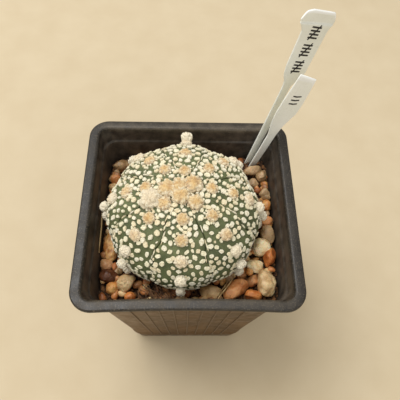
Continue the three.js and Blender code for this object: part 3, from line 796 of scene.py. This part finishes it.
def strewn(name, base, shape, standing, least_turn, most_turn, **inputs):
    """A piece of its own: copies of a shape strewn over the faces of the base that look up, or
    standing out from all its faces, and turned at random."""
    tree, given = new_tree(
        name, Density="Float", Smallest="Float", Largest="Float", Seed="Int", Shape="Object")
    normal = node(tree, "GeometryNodeInputNormal").outputs[0]
    chosen = node(
        tree, "FunctionNodeCompare", data_type="FLOAT", operation="GREATER_THAN",
        A=node(tree, "ShaderNodeSeparateXYZ", Vector=normal).outputs["Z"],
        B=-2.0 if standing else 0.3)
    thrown = node(
        tree, "GeometryNodeDistributePointsOnFaces", Mesh=given["Geometry"],
        Selection=chosen.outputs[0], Density=given["Density"], Seed=given["Seed"])
    euler = random_value(tree, given, "FLOAT_VECTOR", least_turn, most_turn)
    turn = node(tree, "FunctionNodeEulerToRotation", Euler=euler)
    if standing:
        turn = node(
            tree, "FunctionNodeRotateRotation", rotation_space="LOCAL",
            Rotation=thrown.outputs["Rotation"], Rotate_By=turn.outputs[0])
    end_tree(
        tree, given, "InstanceOnPoints", Points=thrown.outputs[0],
        Instance=node(tree, "GeometryNodeObjectInfo", Object=given["Shape"]).outputs["Geometry"],
        Rotation=turn.outputs[0],
        Scale=random_value(tree, given, "FLOAT", given["Smallest"], given["Largest"]))
    piece = new_object(name, base.data.copy())
    grow(piece, tree, Shape=shape, Material=shape.active_material, **inputs)
    bpy.data.objects.remove(shape)
    return piece


grain_material, tree, shader = new_material("grit_grain", 0.8)
chip = toned(tree, grain(tree, 600.0, 2.0), 0.4, 0.6, (52, 34, 22), (142, 98, 58))
cover(tree, shader, chip, grain(tree, 4000.0), 0.08 * MM)
directions, ball_faces = ball_directions(1)
kernel = mesh_piece("kernel", directions * 0.5, ball_faces, grain_material)
shade(kernel.data, False)
loose_grit = strewn(
    "loose_grit", bed, kernel, False, (0, 0, 0), (FULL_TURN,) * 3,
    Density=GRAINS_PER_SQUARE_METRE, Smallest=0.7 * MM, Largest=1.7 * MM, Seed=5)

for piece in (large_stones, fill_stones, bed, loose_grit):
    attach(piece, "root")
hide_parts("gravel")

# Plant body
# A flattened globe of tough grey-green skin with eight broad ribs, parted by narrow furrows that
# wander a little from side to side. It sits on a tapering root neck, buried in the gravel.
EQUATOR = 71.5 * MM
DOME_RADIUS = 24.9 * MM
DOME_RISE = 17.6 * MM
RIBS = 8
RIB_TURN = -1.75
FURROW_DEPTH = 1.5 * MM
NOTCH_WIDTH = 0.9 * MM
SHOULDER_WIDTH = 3.2 * MM
CREASE_WIDTH = 0.16 * MM
CREASE_DEPTH = 0.5 * MM
FURROW_ZIGZAG = 0.035
ROOT_TIP_HEIGHT = 26 * MM
# radius and height of each section of the root neck
ROOT_SECTIONS = (
    (0.8 * MM, ROOT_TIP_HEIGHT), (3.4 * MM, ROOT_TIP_HEIGHT + 12 * MM), (7 * MM, SOIL_TOP + 1 * MM))
LOWEST_POLAR = radians(146)
RIB_WIDTH = tau / RIBS
COLUMNS_PER_RIB = 40
COLUMN_CROWDING = 0.82
BODY_ROWS = 130


def rib_angle(rib):
    return radians(RIB_TURN) + rib * RIB_WIDTH


def zigzag(polar):
    return FURROW_ZIGZAG * sin(polar * 11)


def dome_point(polar, azimuth):
    """Point on the smooth dome, without furrows."""
    return Vector((
        PLANT_X + DOME_RADIUS * sin(polar) * cos(azimuth),
        PLANT_Y + DOME_RADIUS * sin(polar) * sin(azimuth),
        EQUATOR + DOME_RISE * cos(polar),
    ))


def dome_normal(polar, azimuth):
    return Vector((
        sin(polar) * cos(azimuth) / DOME_RADIUS,
        sin(polar) * sin(azimuth) / DOME_RADIUS,
        cos(polar) / DOME_RISE,
    )).normalized()


def smooth_rise(value, low, high):
    """0 up to low, 1 from high, and a smooth rise between."""
    share = min(max((value - low) / (high - low), 0), 1)
    return share * share * (3 - 2 * share)


def furrow_depth(polar, distance):
    """Depth below the dome at a distance from the nearest furrow."""
    notch = exp(-((distance / NOTCH_WIDTH) ** 2))
    shoulder = exp(-((distance / SHOULDER_WIDTH) ** 2))
    return FURROW_DEPTH * smooth_rise(polar, 0.2, 1.2) * (0.25 * notch + 0.4 * shoulder)


def furrow_distance(polar, azimuth):
    """Distance from the nearest furrow."""
    turns = (azimuth - zigzag(polar) - rib_angle(0)) / RIB_WIDTH + 0.5
    return min(turns % 1, 1 - turns % 1) * RIB_WIDTH * DOME_RADIUS * sin(polar)


def crease(polar, distance):
    """How far a place lies in the sharp crease at the bottom of a furrow, from 0 to 1; it sinks the
    skin there and sets the painted shade in the crease.
    """
    return smooth_rise(polar, 0.22, 0.6) * exp(-((distance / CREASE_WIDTH) ** 2))


def skin_point(polar, azimuth):
    """Point on the plant's skin, furrows and slight swellings with it."""
    distance = furrow_distance(polar, azimuth)
    sunk = furrow_depth(polar, distance) + CREASE_DEPTH * crease(polar, distance)
    point = dome_point(polar, azimuth)
    swell = 0.14 * MM * noise.noise(point * 240)
    return point + dome_normal(polar, azimuth) * (swell - sunk)


skin_material, tree, shader = new_material(
    "cactus_skin", 0.62, Subsurface_Weight=0.05, Subsurface_Scale=0.5 * MM)
pores = grain(tree, 3600.0, 3.0)
colour = toned(tree, grain(tree, 130.0, 4.0), 0.35, 0.68, (68, 76, 44), (100, 107, 68))
colour = toned(tree, pores, 0.5, 0.72, colour, (130, 134, 94), 0.5)
# the sharp crease of each furrow is painted dark green, as its shade
colour = toned(tree, painted(tree, "crease"), 0.2, 0.8, colour, (44, 46, 27), 0.6)
cover(tree, shader, colour, pores, 0.06 * MM, 0.6)

# columns of points stand closest together at the furrows
column_angles = []
for column in range(RIBS * COLUMNS_PER_RIB):
    rib, step = divmod(column, COLUMNS_PER_RIB)
    share = step / COLUMNS_PER_RIB
    share -= COLUMN_CROWDING * sin(tau * share) / tau
    column_angles.append(rib_angle(rib) + (share - 0.5) * RIB_WIDTH)
body_rings = [circle(PLANT_X, PLANT_Y, z, radius, column_angles) for radius, z in ROOT_SECTIONS]
crease_shades = [0.0] * len(ROOT_SECTIONS) * len(column_angles)
for row in range(BODY_ROWS):
    polar = LOWEST_POLAR * (1 - row / BODY_ROWS)
    azimuths = [angle + zigzag(polar) for angle in column_angles]
    body_rings.append([skin_point(polar, azimuth) for azimuth in azimuths])
    crease_shades += [crease(polar, furrow_distance(polar, azimuth)) for azimuth in azimuths]
body = mesh_piece("cactus_body", *loft(body_rings), skin_material)
store(body.data, "crease", "FLOAT", [*crease_shades, 0.0, 0.0])
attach(body, "root")
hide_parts("cactus")

# Areoles and tufts
# Round pads of felted wool down the middle of each rib, crowded into tufts at the crown. New
# wool is peach-coloured with cream edges; old wool, low on the ribs, is chalky white and lumpy.
AREOLE_RADIUS = 2 * MM
OLD_AREOLE_RADIUS = 1.3 * MM
AREOLE_LIFT = 1 * MM
LOWEST_AREOLE = 112
# down each rib: first areole, step to the next and growth of the step, in degrees
AREOLE_ROWS = [
    (19.5, 17, 0), (25, 18.2, 0), (12.5, 22, 3), (20, 18.8, 0),
    (27, 17, 0.5), (33.4, 17, 1.2), (24.5, 15.2, 1.7), (29, 17.6, 0),
]
# degrees from the top and round it, then radius and lift in millimetres; the last two are older
TUFTS = [
    (11.5, -171, 2.7, 0), (3, -172, 2.6, 0), (6.5, 9, 2.8, 0), (8.2, -103, 2.7, 0),
    (18.8, -135, 2.1, 0), (14.7, -58, 2.4, 0), (24.4, -158, 3, 0), (62, 88, 1.7, 2.6),
]
TUFT_AGES = {6: 0.65, 7: 1.0}
WOOL_CENTRE = Vector(shown(224, 184, 120))
WOOL_MIDDLE = Vector(shown(230, 205, 156))
WOOL_EDGE = Vector(shown(242, 232, 202))
WOOL_CREVICE_SHADE = Vector(shown(172, 124, 74))
WOOL_OLD = Vector(shown(246, 238, 214))
PAD_SECTORS = 48
PAD_RINGS = 14
HAIR_LENGTH = 0.3 * MM
HAIR_LEAN = 0.8
HAIRS_PER_SQUARE_METRE = 6.8e6

wool_places = [
    (radians(polar), radians(azimuth), radius * MM, lift * MM)
    for polar, azimuth, radius, lift in TUFTS
]
for rib, (polar, step, growth) in enumerate(AREOLE_ROWS):
    while polar < LOWEST_AREOLE:
        lift = AREOLE_LIFT * smooth_rise(radians(polar), 0.9, 1.5)
        age = smooth_rise(radians(polar), 0.7, 1.7)
        radius = AREOLE_RADIUS + (OLD_AREOLE_RADIUS - AREOLE_RADIUS) * age
        wool_places.append((radians(polar), rib_angle(rib), radius, lift))
        polar += step
        step += growth

wool_material, tree, shader = new_material(
    "cactus_wool", 0.95, Sheen_Weight=0.12, Sheen_Roughness=0.5)
fibre = grain(tree, 3200.0, 5.0)
colour = toned(tree, fibre, 0.6, 0.32, painted(tree, "tone", "Color"), (180, 138, 90), 0.4)
cover(tree, shader, colour, fibre, 0.4 * MM)

wool_points = []
wool_faces = []
wool_tones = []
for index, (polar, azimuth, radius, lift) in enumerate(wool_places):
    normal = dome_normal(polar, azimuth)
    seat = dome_point(polar, azimuth) + normal * lift
    turn = normal.to_track_quat("Z", "Y").to_matrix()
    wander = Vector((index * 3.1, index * 1.7, 0))
    age = TUFT_AGES.get(index, smooth_rise(polar, 0.6, 1.35))
    at_crown = index < len(TUFTS) - 1
    streaky = 1.0 if at_crown else 0.25
    swollen = 1.08 if at_crown else 0.97 + 0.16 * age
    # reach and height up the pad: a foot sunk in the skin, then a dome, higher on old wool
    section = [(0.55, -1.0 - lift / radius), (0.86, -0.5), (0.97, -0.1)]
    for step in range(PAD_RINGS):
        angle = step / PAD_RINGS * pi / 2
        height = 0.08 + (0.62 + 0.26 * age) * sin(angle) ** 0.9
        section.append((cos(angle) ** 0.8, height))
    start = len(wool_points)
    for reach, height in section:
        for sector in range(PAD_SECTORS):
            angle = tau * sector / PAD_SECTORS
            across, along = cos(angle), sin(angle)
            local = Vector((reach * across, reach * along, height))
            lump = noise.fractal(local * 2.3 + wander, 0.8, 2.1, 4)
            from_curd = noise.voronoi(local * 2.6 + wander)[0][0]
            curd = 0.45 - from_curd
            # where the curds meet a darker tan is painted, as the shade in the crevices between
            # them
            crevice_shade = smooth_rise(from_curd, 0.42, 0.8)
            streak = noise.noise(Vector((across * 3.4, along * 3.4, index + 0.3 * height)))
            tuft = noise.noise(Vector((across * 8, along * 8, index + 0.5 * height)))
            bulge = 0.09 * lump + (0.26 + 0.04 * age) * curd
            local *= 1 + bulge + (0.08 + 0.14 * streaky) * streak * reach
            local *= 1 + (0.07 + 0.08 * streaky) * tuft * reach
            wool_points.append(seat + turn @ (local * radius * swollen))
            inward = 1 - reach + 0.35 * noise.noise(local * 2.6 + wander)
            inward -= 0.5 * streaky * max(streak, 0) + 0.3 * tuft
            pale = smooth_rise(noise.noise(local * 1.4 + wander * 2), 0.0, 0.35)
            golden = 0.85 * smooth_rise(inward, 0.35, 0.85) * (1 - pale)
            fresh = WOOL_EDGE.lerp(WOOL_MIDDLE, smooth_rise(inward, 0.0, 0.35))
            fresh = fresh.lerp(WOOL_CENTRE, golden).lerp(WOOL_CREVICE_SHADE, 0.55 * crevice_shade)
            wool_tones += (*fresh.lerp(WOOL_OLD, age), 1.0)
    wool_faces += bands(start, len(section), PAD_SECTORS)
    wool_faces.append(tuple(range(start + PAD_SECTORS - 1, start - 1, -1)))
    wool_faces.append(tuple(range(len(wool_points) - PAD_SECTORS, len(wool_points))))
wool = mesh_piece("areole_wool", wool_points, wool_faces, wool_material)
store(wool.data, "tone", "FLOAT_COLOR", wool_tones)

# fuzz of short bent hairs over the pads
corner_angles = [corner * tau / 3 for corner in range(3)]
hair_points = [
    *circle(0.0, 0, -0.2, 0.05, corner_angles), *circle(0.08, 0, 0.55, 0.04, corner_angles),
    (0.3, 0, 1)]
hair_faces = [(2, 1, 0), (0, 1, 4, 3), (1, 2, 5, 4), (2, 0, 3, 5), (3, 4, 6), (4, 5, 6), (5, 3, 6)]
hair = mesh_piece("hair", hair_points, hair_faces, wool_material)
wool_fuzz = strewn(
    "wool_fuzz", wool, hair, True,
    (-HAIR_LEAN, -HAIR_LEAN, 0.0), (HAIR_LEAN, HAIR_LEAN, FULL_TURN),
    Density=HAIRS_PER_SQUARE_METRE, Smallest=HAIR_LENGTH / 2, Largest=HAIR_LENGTH, Seed=3)
for piece in (wool, wool_fuzz):
    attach(piece, "root")

# Flecks
# Small pads of felted white hairs strewn over the skin, oval or with two to four lobes. They
# crowd together near the crown, crumble round the areoles and lie as slivers along the furrows.
FLECK_RISE = 0.58 * MM
FLECK_TONES = [
    ((233, 228, 200), (221, 210, 176)),
    ((229, 220, 188), (215, 197, 160)),
    ((233, 229, 208), (215, 204, 174)),
]
LOWEST_FLECK = radians(114)
MOST_FLECKS = 3000
FURROW_TOP = 0.3
FURROW_END = 1.75
SLIVER_GAP = 0.3 * MM
FURROW_CRUMBS = 14
CRUMBS_TOP = 1.12
CRUMBS_SPAN = 0.3

random = random_source(4187)
seats = np.array([dome_point(polar, azimuth) for polar, azimuth, _, _ in wool_places])
seat_radii = np.array([radius for _, _, radius, _ in wool_places])
fleck_points = np.empty((MOST_FLECKS, 3))
fleck_reaches = np.empty(MOST_FLECKS)
flecks = []


def fits(polar, azimuth, reach, wool_room, room):
    """Whether a fleck there is clear of the wool and of the flecks so far."""
    point = np.array(dome_point(polar, azimuth))
    count = len(flecks)
    from_wool = np.linalg.norm(seats - point, axis=1) - seat_radii
    from_flecks = np.linalg.norm(fleck_points[:count] - point, axis=1) - fleck_reaches[:count]
    return (from_wool > reach + wool_room).all() and (from_flecks > reach + room).all()


def add_fleck(polar, azimuth, length, width, turned):
    fleck_points[len(flecks)] = dome_point(polar, azimuth)
    fleck_reaches[len(flecks)] = length / 2
    flecks.append((polar, azimuth, length, width, turned))


def throw_flecks(
        most, tries, crowding, shortest, longer, furrow_room, wool_room, room, low_room=0.0):
    """Flecks thrown at random over the dome, clear of furrows, wool and one another."""
    for _ in range(tries):
        if len(flecks) == most:
            break
        polar = acos(1 - next(random) ** crowding * (1 - cos(LOWEST_FLECK)))
        azimuth = next(random) * 2 * pi
        length = (shortest + longer * next(random)) * MM
        width = length * (0.62 + 0.33 * next(random))
        turned = next(random) * pi
        gap = (room + low_room * smooth_rise(polar, 0.5, 1.0)) * MM
        off_furrow = furrow_distance(polar, azimuth) > furrow_room * MM
        if off_furrow and fits(polar, azimuth, length / 2, wool_room * MM, gap):
            add_fleck(polar, azimuth, length, width, turned)


def ring_of_flecks(count, shortest, longer, room, overlap):
    """Flecks close round each areole, where there is room."""
    for middle_polar, middle_azimuth, radius, _ in wool_places:
        for step in range(count):
            angle = tau * (step + 0.6 * next(random)) / count
            length = (shortest + longer * next(random)) * MM
            out = radius + room * MM + 0.4 * length
            polar = middle_polar + out * cos(angle) / DOME_RADIUS
            across = DOME_RADIUS * max(sin(polar), 0.12)
            azimuth = middle_azimuth + out * sin(angle) / across
            width = length * (0.7 + 0.3 * next(random))
            turned = next(random) * pi
            clear = fits(polar, azimuth, length / 2, -0.3 * MM, -overlap * MM)
            if 0.02 < polar < LOWEST_FLECK and clear:
                add_fleck(polar, azimuth, length, width, turned)


throw_flecks(
    most=270, tries=9000, crowding=1.2, shortest=1.6, longer=0.7,
    furrow_room=0.9, wool_room=0.1, room=0.35)
ring_of_flecks(count=9, shortest=1.2, longer=0.8, room=0.05, overlap=0.5)
throw_flecks(
    most=1000, tries=20000, crowding=1.1, shortest=1.3, longer=0.6,
    furrow_room=0.7, wool_room=0.0, room=0.12, low_room=0.1)
ring_of_flecks(count=12, shortest=0.6, longer=0.5, room=0.0, overlap=0.25)
throw_flecks(
    most=1400, tries=7000, crowding=2.2, shortest=0.8, longer=0.5,
    furrow_room=0.5, wool_room=-0.1, room=0.1, low_room=0.35)


def by_furrow(furrow, polar, aside):
    """The azimuth of a place so many millimetres aside of a furrow."""
    middle = rib_angle(furrow) + RIB_WIDTH / 2
    return middle + zigzag(polar) + aside * MM / (DOME_RADIUS * sin(polar))


# slivers in the furrows, and a patch of crumbs low in each
for furrow in range(RIBS):
    polar = FURROW_TOP
    while polar < FURROW_END:
        length = (1.2 + 1.4 * next(random)) * MM
        aside = 0.1 + 0.3 * next(random) * (1 if next(random) < 0.5 else -1)
        if next(random) < 0.6:
            width = (0.3 + 0.25 * next(random)) * MM
            add_fleck(polar, by_furrow(furrow, polar, aside), length, width, 0.0)
        polar += (length + SLIVER_GAP) / DOME_RADIUS
    for _ in range(FURROW_CRUMBS):
        polar = CRUMBS_TOP + CRUMBS_SPAN * next(random)
        azimuth = by_furrow(furrow, polar, 1.8 * (next(random) - 0.5))
        length = (0.8 + 0.6 * next(random)) * MM
        add_fleck(polar, azimuth, length, length * 0.8, next(random) * pi)

fleck_places = []
for index, (polar, azimuth, length, width, turned) in enumerate(flecks):
    normal = dome_normal(polar, azimuth)
    down = (dome_point(polar + 0.01, azimuth) - dome_point(polar - 0.01, azimuth)).normalized()
    down = (down - normal * down.dot(normal)).normalized()
    turn = Matrix((down, normal.cross(down), normal)).transposed()
    turn = turn @ Matrix.Rotation(turned, 3, "Z")
    rise = FLECK_RISE * min(1.0, 0.5 + 0.35 * length / MM)
    rise *= 1 - 0.5 * smooth_rise(polar, 0.9, 1.4)
    size = Vector((length, width, rise))
    fleck_places.append((skin_point(polar, azimuth), turn, size, FLECK_TONES[index * 5 % 3]))

fleck_material, tree, shader = new_material("fleck_wool", 0.9, Sheen_Weight=0.15)
felt = grain(tree, 2600.0, 5.0)
cover(tree, shader, two_toned(tree, felt, 0.36, 0.6), felt, 0.16 * MM)

fleck_shapes = []
chance = np.random.default_rng(12)
for lobes in (0, 4, 3, 2) * 4:
    corners = 4 * max(lobes, 3)
    outline = []
    for corner in range(corners):
        angle = tau * (corner + 0.3 * float(chance.random())) / corners
        reach = 0.5 * (0.94 + 0.16 * float(chance.random()))
        if lobes:
            reach *= 0.78 + 0.28 * abs(cos(lobes * angle / 2)) ** 0.6
        outline.append((reach * cos(angle), reach * sin(angle)))
    rings = []
    for reach, height in ((0.74, -0.9), (1.0, 0.45), (0.82, 1.0)):
        rings.append([
            Vector((x * reach, y * reach, height + 0.14 * float(chance.normal()) * (height > 0)))
            for x, y in outline
        ])
    fleck_shapes.append(loft(rings))
fleck_pads = scatter("flecks", fleck_places, fleck_shapes, fleck_material)
shade(fleck_pads.data, False)
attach(fleck_pads, "root")

# Plant labels
# Two stake labels cut from thin off-white polystyrene, pushed into the gravel at the back right
# corner and leaning over the rim. Each has pen strokes in dark ink on its head.
# The outline gives the distance along the blade and the left and right edge there; the top edge
# is given across and along from left to right, and the highlight strip is the width below it
# that is painted near-white, a painted highlight for the light a bent top would catch.
TALL_LABEL = {
    "foot": (22.1, 26.7, 59.6),
    "lean": 19.2,
    "azimuth": 38.6,
    "facing": -69,
    "outline": [
        (-14, -0.5, 0.5), (-10, -1.5, 1.5), (33, -1.4, 1.6), (37, -1.5, 1.7), (39, -1.9, 3.0),
        (41, -3.1, 4.8), (42.5, -3.6, 5.0), (45, -4.1, 5.0), (57, -4.7, 5.2), (58.2, -5.5, 5.5),
        (59.5, -6.6, 6.0), (61.4, -7.0, 6.1), (62.6, -6.4, 5.6), (63.3, -5.7, 4.9),
    ],
    "top": [
        (-7.0, 61.4), (-6.5, 62.6), (-5.9, 63.2), (-3.8, 63.8), (-0.4, 63.6), (4.6, 63.3),
        (5.6, 62.4), (6.1, 61.4),
    ],
    "lip": 0.9,
}
SHORT_LABEL = {
    "foot": (23.5, 25.3, 59.6),
    "lean": 17.2,
    "azimuth": 19,
    "facing": -80,
    "outline": [
        (-6, -0.5, 0.5), (-3, -1.1, 1.1), (14, -1.4, 1.5), (19, -1.5, 1.5), (24, -2.7, 2.1),
        (27, -3.2, 3.0), (30, -3.5, 4.0), (35, -3.5, 4.1), (45.8, -3.0, 3.3),
    ],
    "top": [(-3.0, 46.4), (3.3, 45.2)],
    "lip": 1.8,
}
LABEL_THICKNESS = 0.7
LABEL_STEP = 0.7
LABEL_CORNERS = 32
LABEL_ROUND_END = 0.35
TOP_ZONE = 6


def label_turn(label):
    """Across, along and out of the written face, as a matrix, and the foot."""
    lean, azimuth, facing = (radians(label[name]) for name in ("lean", "azimuth", "facing"))
    sideways = sin(lean)
    along = Vector((sideways * cos(azimuth), sideways * sin(azimuth), cos(lean)))
    out = Vector((cos(facing), sin(facing), 0))
    out = (out - along * out.dot(along)).normalized()
    return Matrix((along.cross(out), along, out)).transposed(), Vector(label["foot"])


def blade(name, label, material):
    """A flat blade with rounded edges, its upper rows drawn up to the shape of the top edge."""
    turn, foot = label_turn(label)
    alongs, lefts, rights = zip(*label["outline"])
    top_across, top_along = zip(*label["top"])
    stations = sorted(set(alongs) | set(np.arange(alongs[0], alongs[-1], LABEL_STEP).tolist()))
    rings = []
    highlight_strip_shares = []
    for station in stations:
        left, right = (float(np.interp(station, alongs, edges)) for edges in (lefts, rights))
        middle = (left + right) / 2
        from_end = min(station - alongs[0], alongs[-1] - station)
        thick = LABEL_THICKNESS / 2 * (0.45 + 0.55 * min(from_end / LABEL_ROUND_END, 1))
        upper = max(0.0, (station - alongs[-1] + TOP_ZONE) / TOP_ZONE)
        ring = []
        for corner in range(LABEL_CORNERS):
            angle = tau * corner / LABEL_CORNERS
            across, out = cos(angle), sin(angle)
            x = middle + (right - middle) * copysign(abs(across) ** 0.5, across)
            z = thick * copysign(abs(out) ** 0.3, out)
            edge = float(np.interp(x, top_across, top_along))
            along = station + upper ** 2 * (edge - alongs[-1])
            ring.append((foot + turn @ Vector((x, along, -z))) * MM)
            highlight_strip_shares.append(1.0 if edge - along < label["lip"] else 0.0)
        rings.append(ring)
    piece = mesh_piece(name, *loft(rings), material)
    store(piece.data, "lip", "FLOAT", [*highlight_strip_shares, 0.0, 1.0])
    return piece


def label_plastic(name, dull, clean):
    """Off-white plastic, hazy and lightly scuffed, with a painted highlight on the strip at the
    top.
    """
    material, tree, shader = new_material(name, 0.42)
    scuff = grain(tree, 1800.0, 3.0)
    colour = toned(tree, grain(tree, 90.0, 3.0), 0.35, 0.65, dull, clean)
    colour = toned(tree, scuff, 0.58, 0.75, colour, (194, 188, 170), 0.3)
    # a near-white painted highlight along the strip at the top
    colour = blend(tree, painted(tree, "lip"), colour, (246, 247, 244))
    cover(tree, shader, colour, scuff, 0.02 * MM, 0.5)
    return material


tall_plastic = label_plastic("label_plastic", (227, 228, 217), (237, 238, 229))
# the short label's plastic is given a paler colour than the tall one's
short_plastic = label_plastic("label_plastic_newer", (240, 241, 232), (248, 248, 242))
tall_label = blade("label_tall_blade", TALL_LABEL, tall_plastic)
short_label = blade("label_short_blade", SHORT_LABEL, short_plastic)
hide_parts("label_tall")
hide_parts("label_short")
for piece in (tall_label, short_label):
    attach(piece, "root")

# Pen strokes
# Tally strokes in waterproof ink, the usual count of a batch: on the tall label fours crossed by
# a fifth, on the short one three.
INK_RADIUS = 0.42 * MM
INK_SUNK = 0.26


def ink_path(label, marks):
    """Strokes across the face; each mark is a list of across and along places."""
    turn, foot = label_turn(label)
    paths = []
    for mark in marks:
        path = []
        for index, (across, along) in enumerate(mark):
            point = foot + turn @ Vector((across, along, LABEL_THICKNESS / 2 - INK_SUNK))
            path.append((point * MM, 1.0 if 0 < index < len(mark) - 1 else 0.92))
        paths.append(path)
    return paths


ink_tones = ((18, 15, 13), (38, 32, 28))
ink_material = grainy("label_ink", 0.6, (1500.0,), (0.35, 0.7), ink_tones, 0.02 * MM, 0.4)
tall_marks = []
for group in (42.9, 48.9, 54.9):
    for stroke in range(4):
        along = group + 1.15 * stroke
        tall_marks.append([(-1.6, along + 0.15), (0.3, along), (2.1, along - 0.12)])
    tall_marks.append([(-1.2, group - 0.7), (0.2, group + 1.7), (1.7, group + 4.2)])
short_marks = []
for stroke in range(3):
    along = 1.6 * stroke
    short_marks.append([(-1.2, 34.6 + along), (0.3, 34.5 + along), (1.7, 34.8 + along)])
ink_paths = ink_path(TALL_LABEL, tall_marks) + ink_path(SHORT_LABEL, short_marks)
ink = strands("pen_strokes", ink_paths, INK_RADIUS, 8, ink_material)
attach(ink, "root")

# Dry straws and root fibres
# Three stiff dry straws fallen on the gravel, two of them side by side, and a tangle of thin
# brown root fibres at the front.
STRAW_RADIUS = 0.24 * MM
STRAW_ENDS = [
    ((-29.4, 1.9, 66.4), (-29.2, -12.0, 64.4)),
    ((14.5, -20.9, 66.2), (9.1, -28.4, 65.4)),
    ((12.7, -22.0, 65.6), (8.5, -27.9, 64.6)),
]
STRAW_STEPS = 8
ROOT_FIBRES = 70
FIBRE_POINTS = 8
FIBRE_STEP = 0.8
FIBRE_BEND = 0.55
FRONT_LIMIT = -28.4
FIBRE_RADIUS = 0.13 * MM
straw_material = grainy(
    "dry_straw", 0.6, (1.0, 3.0, (900.0, 150.0, 900.0)), (0.35, 0.65),
    ((128, 96, 52), (200, 172, 120)), 0.05 * MM)
straw_paths = []
for start, end in STRAW_ENDS:
    path = []
    for step in range(STRAW_STEPS + 1):
        share = step / STRAW_STEPS
        bent = Vector((0.15 * sin(share * 5), 0, 0.5 * share * (1 - share)))
        point = Vector(start).lerp(Vector(end), share) + bent
        path.append((point * MM, 1.0 - 0.5 * abs(2 * share - 1) ** 3))
    straw_paths.append(path)
straws = strands("dry_straws", straw_paths, STRAW_RADIUS, 8, straw_material)
fibre_paths = []
for fibre in range(ROOT_FIBRES):
    x = -16 + 10 * next(random)
    y = -27.6 + 5.6 * next(random)
    z = 62 + 2.4 * next(random)
    heading = -0.9 + 1.0 * (next(random) - 0.5)
    path = []
    for step in range(FIBRE_POINTS):
        path.append((Vector((x, y, z)) * MM, 1.0 - 0.09 * step))
        heading += FIBRE_BEND * (next(random) - 0.5)
        x += FIBRE_STEP * cos(heading)
        y = max(y + FIBRE_STEP * sin(heading), FRONT_LIMIT)
        z += 0.5 * (next(random) - 0.5)
    fibre_paths.append(path)
fibre_tones = ((60, 40, 24), (146, 106, 70))
root_material = grainy("root_fibre", 0.75, (500.0, 3.0), (0.35, 0.65), fibre_tones, 0.04 * MM)
fibres = strands("root_fibres", fibre_paths, FIBRE_RADIUS, 5, root_material)
for piece in (straws, fibres):
    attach(piece, "root")
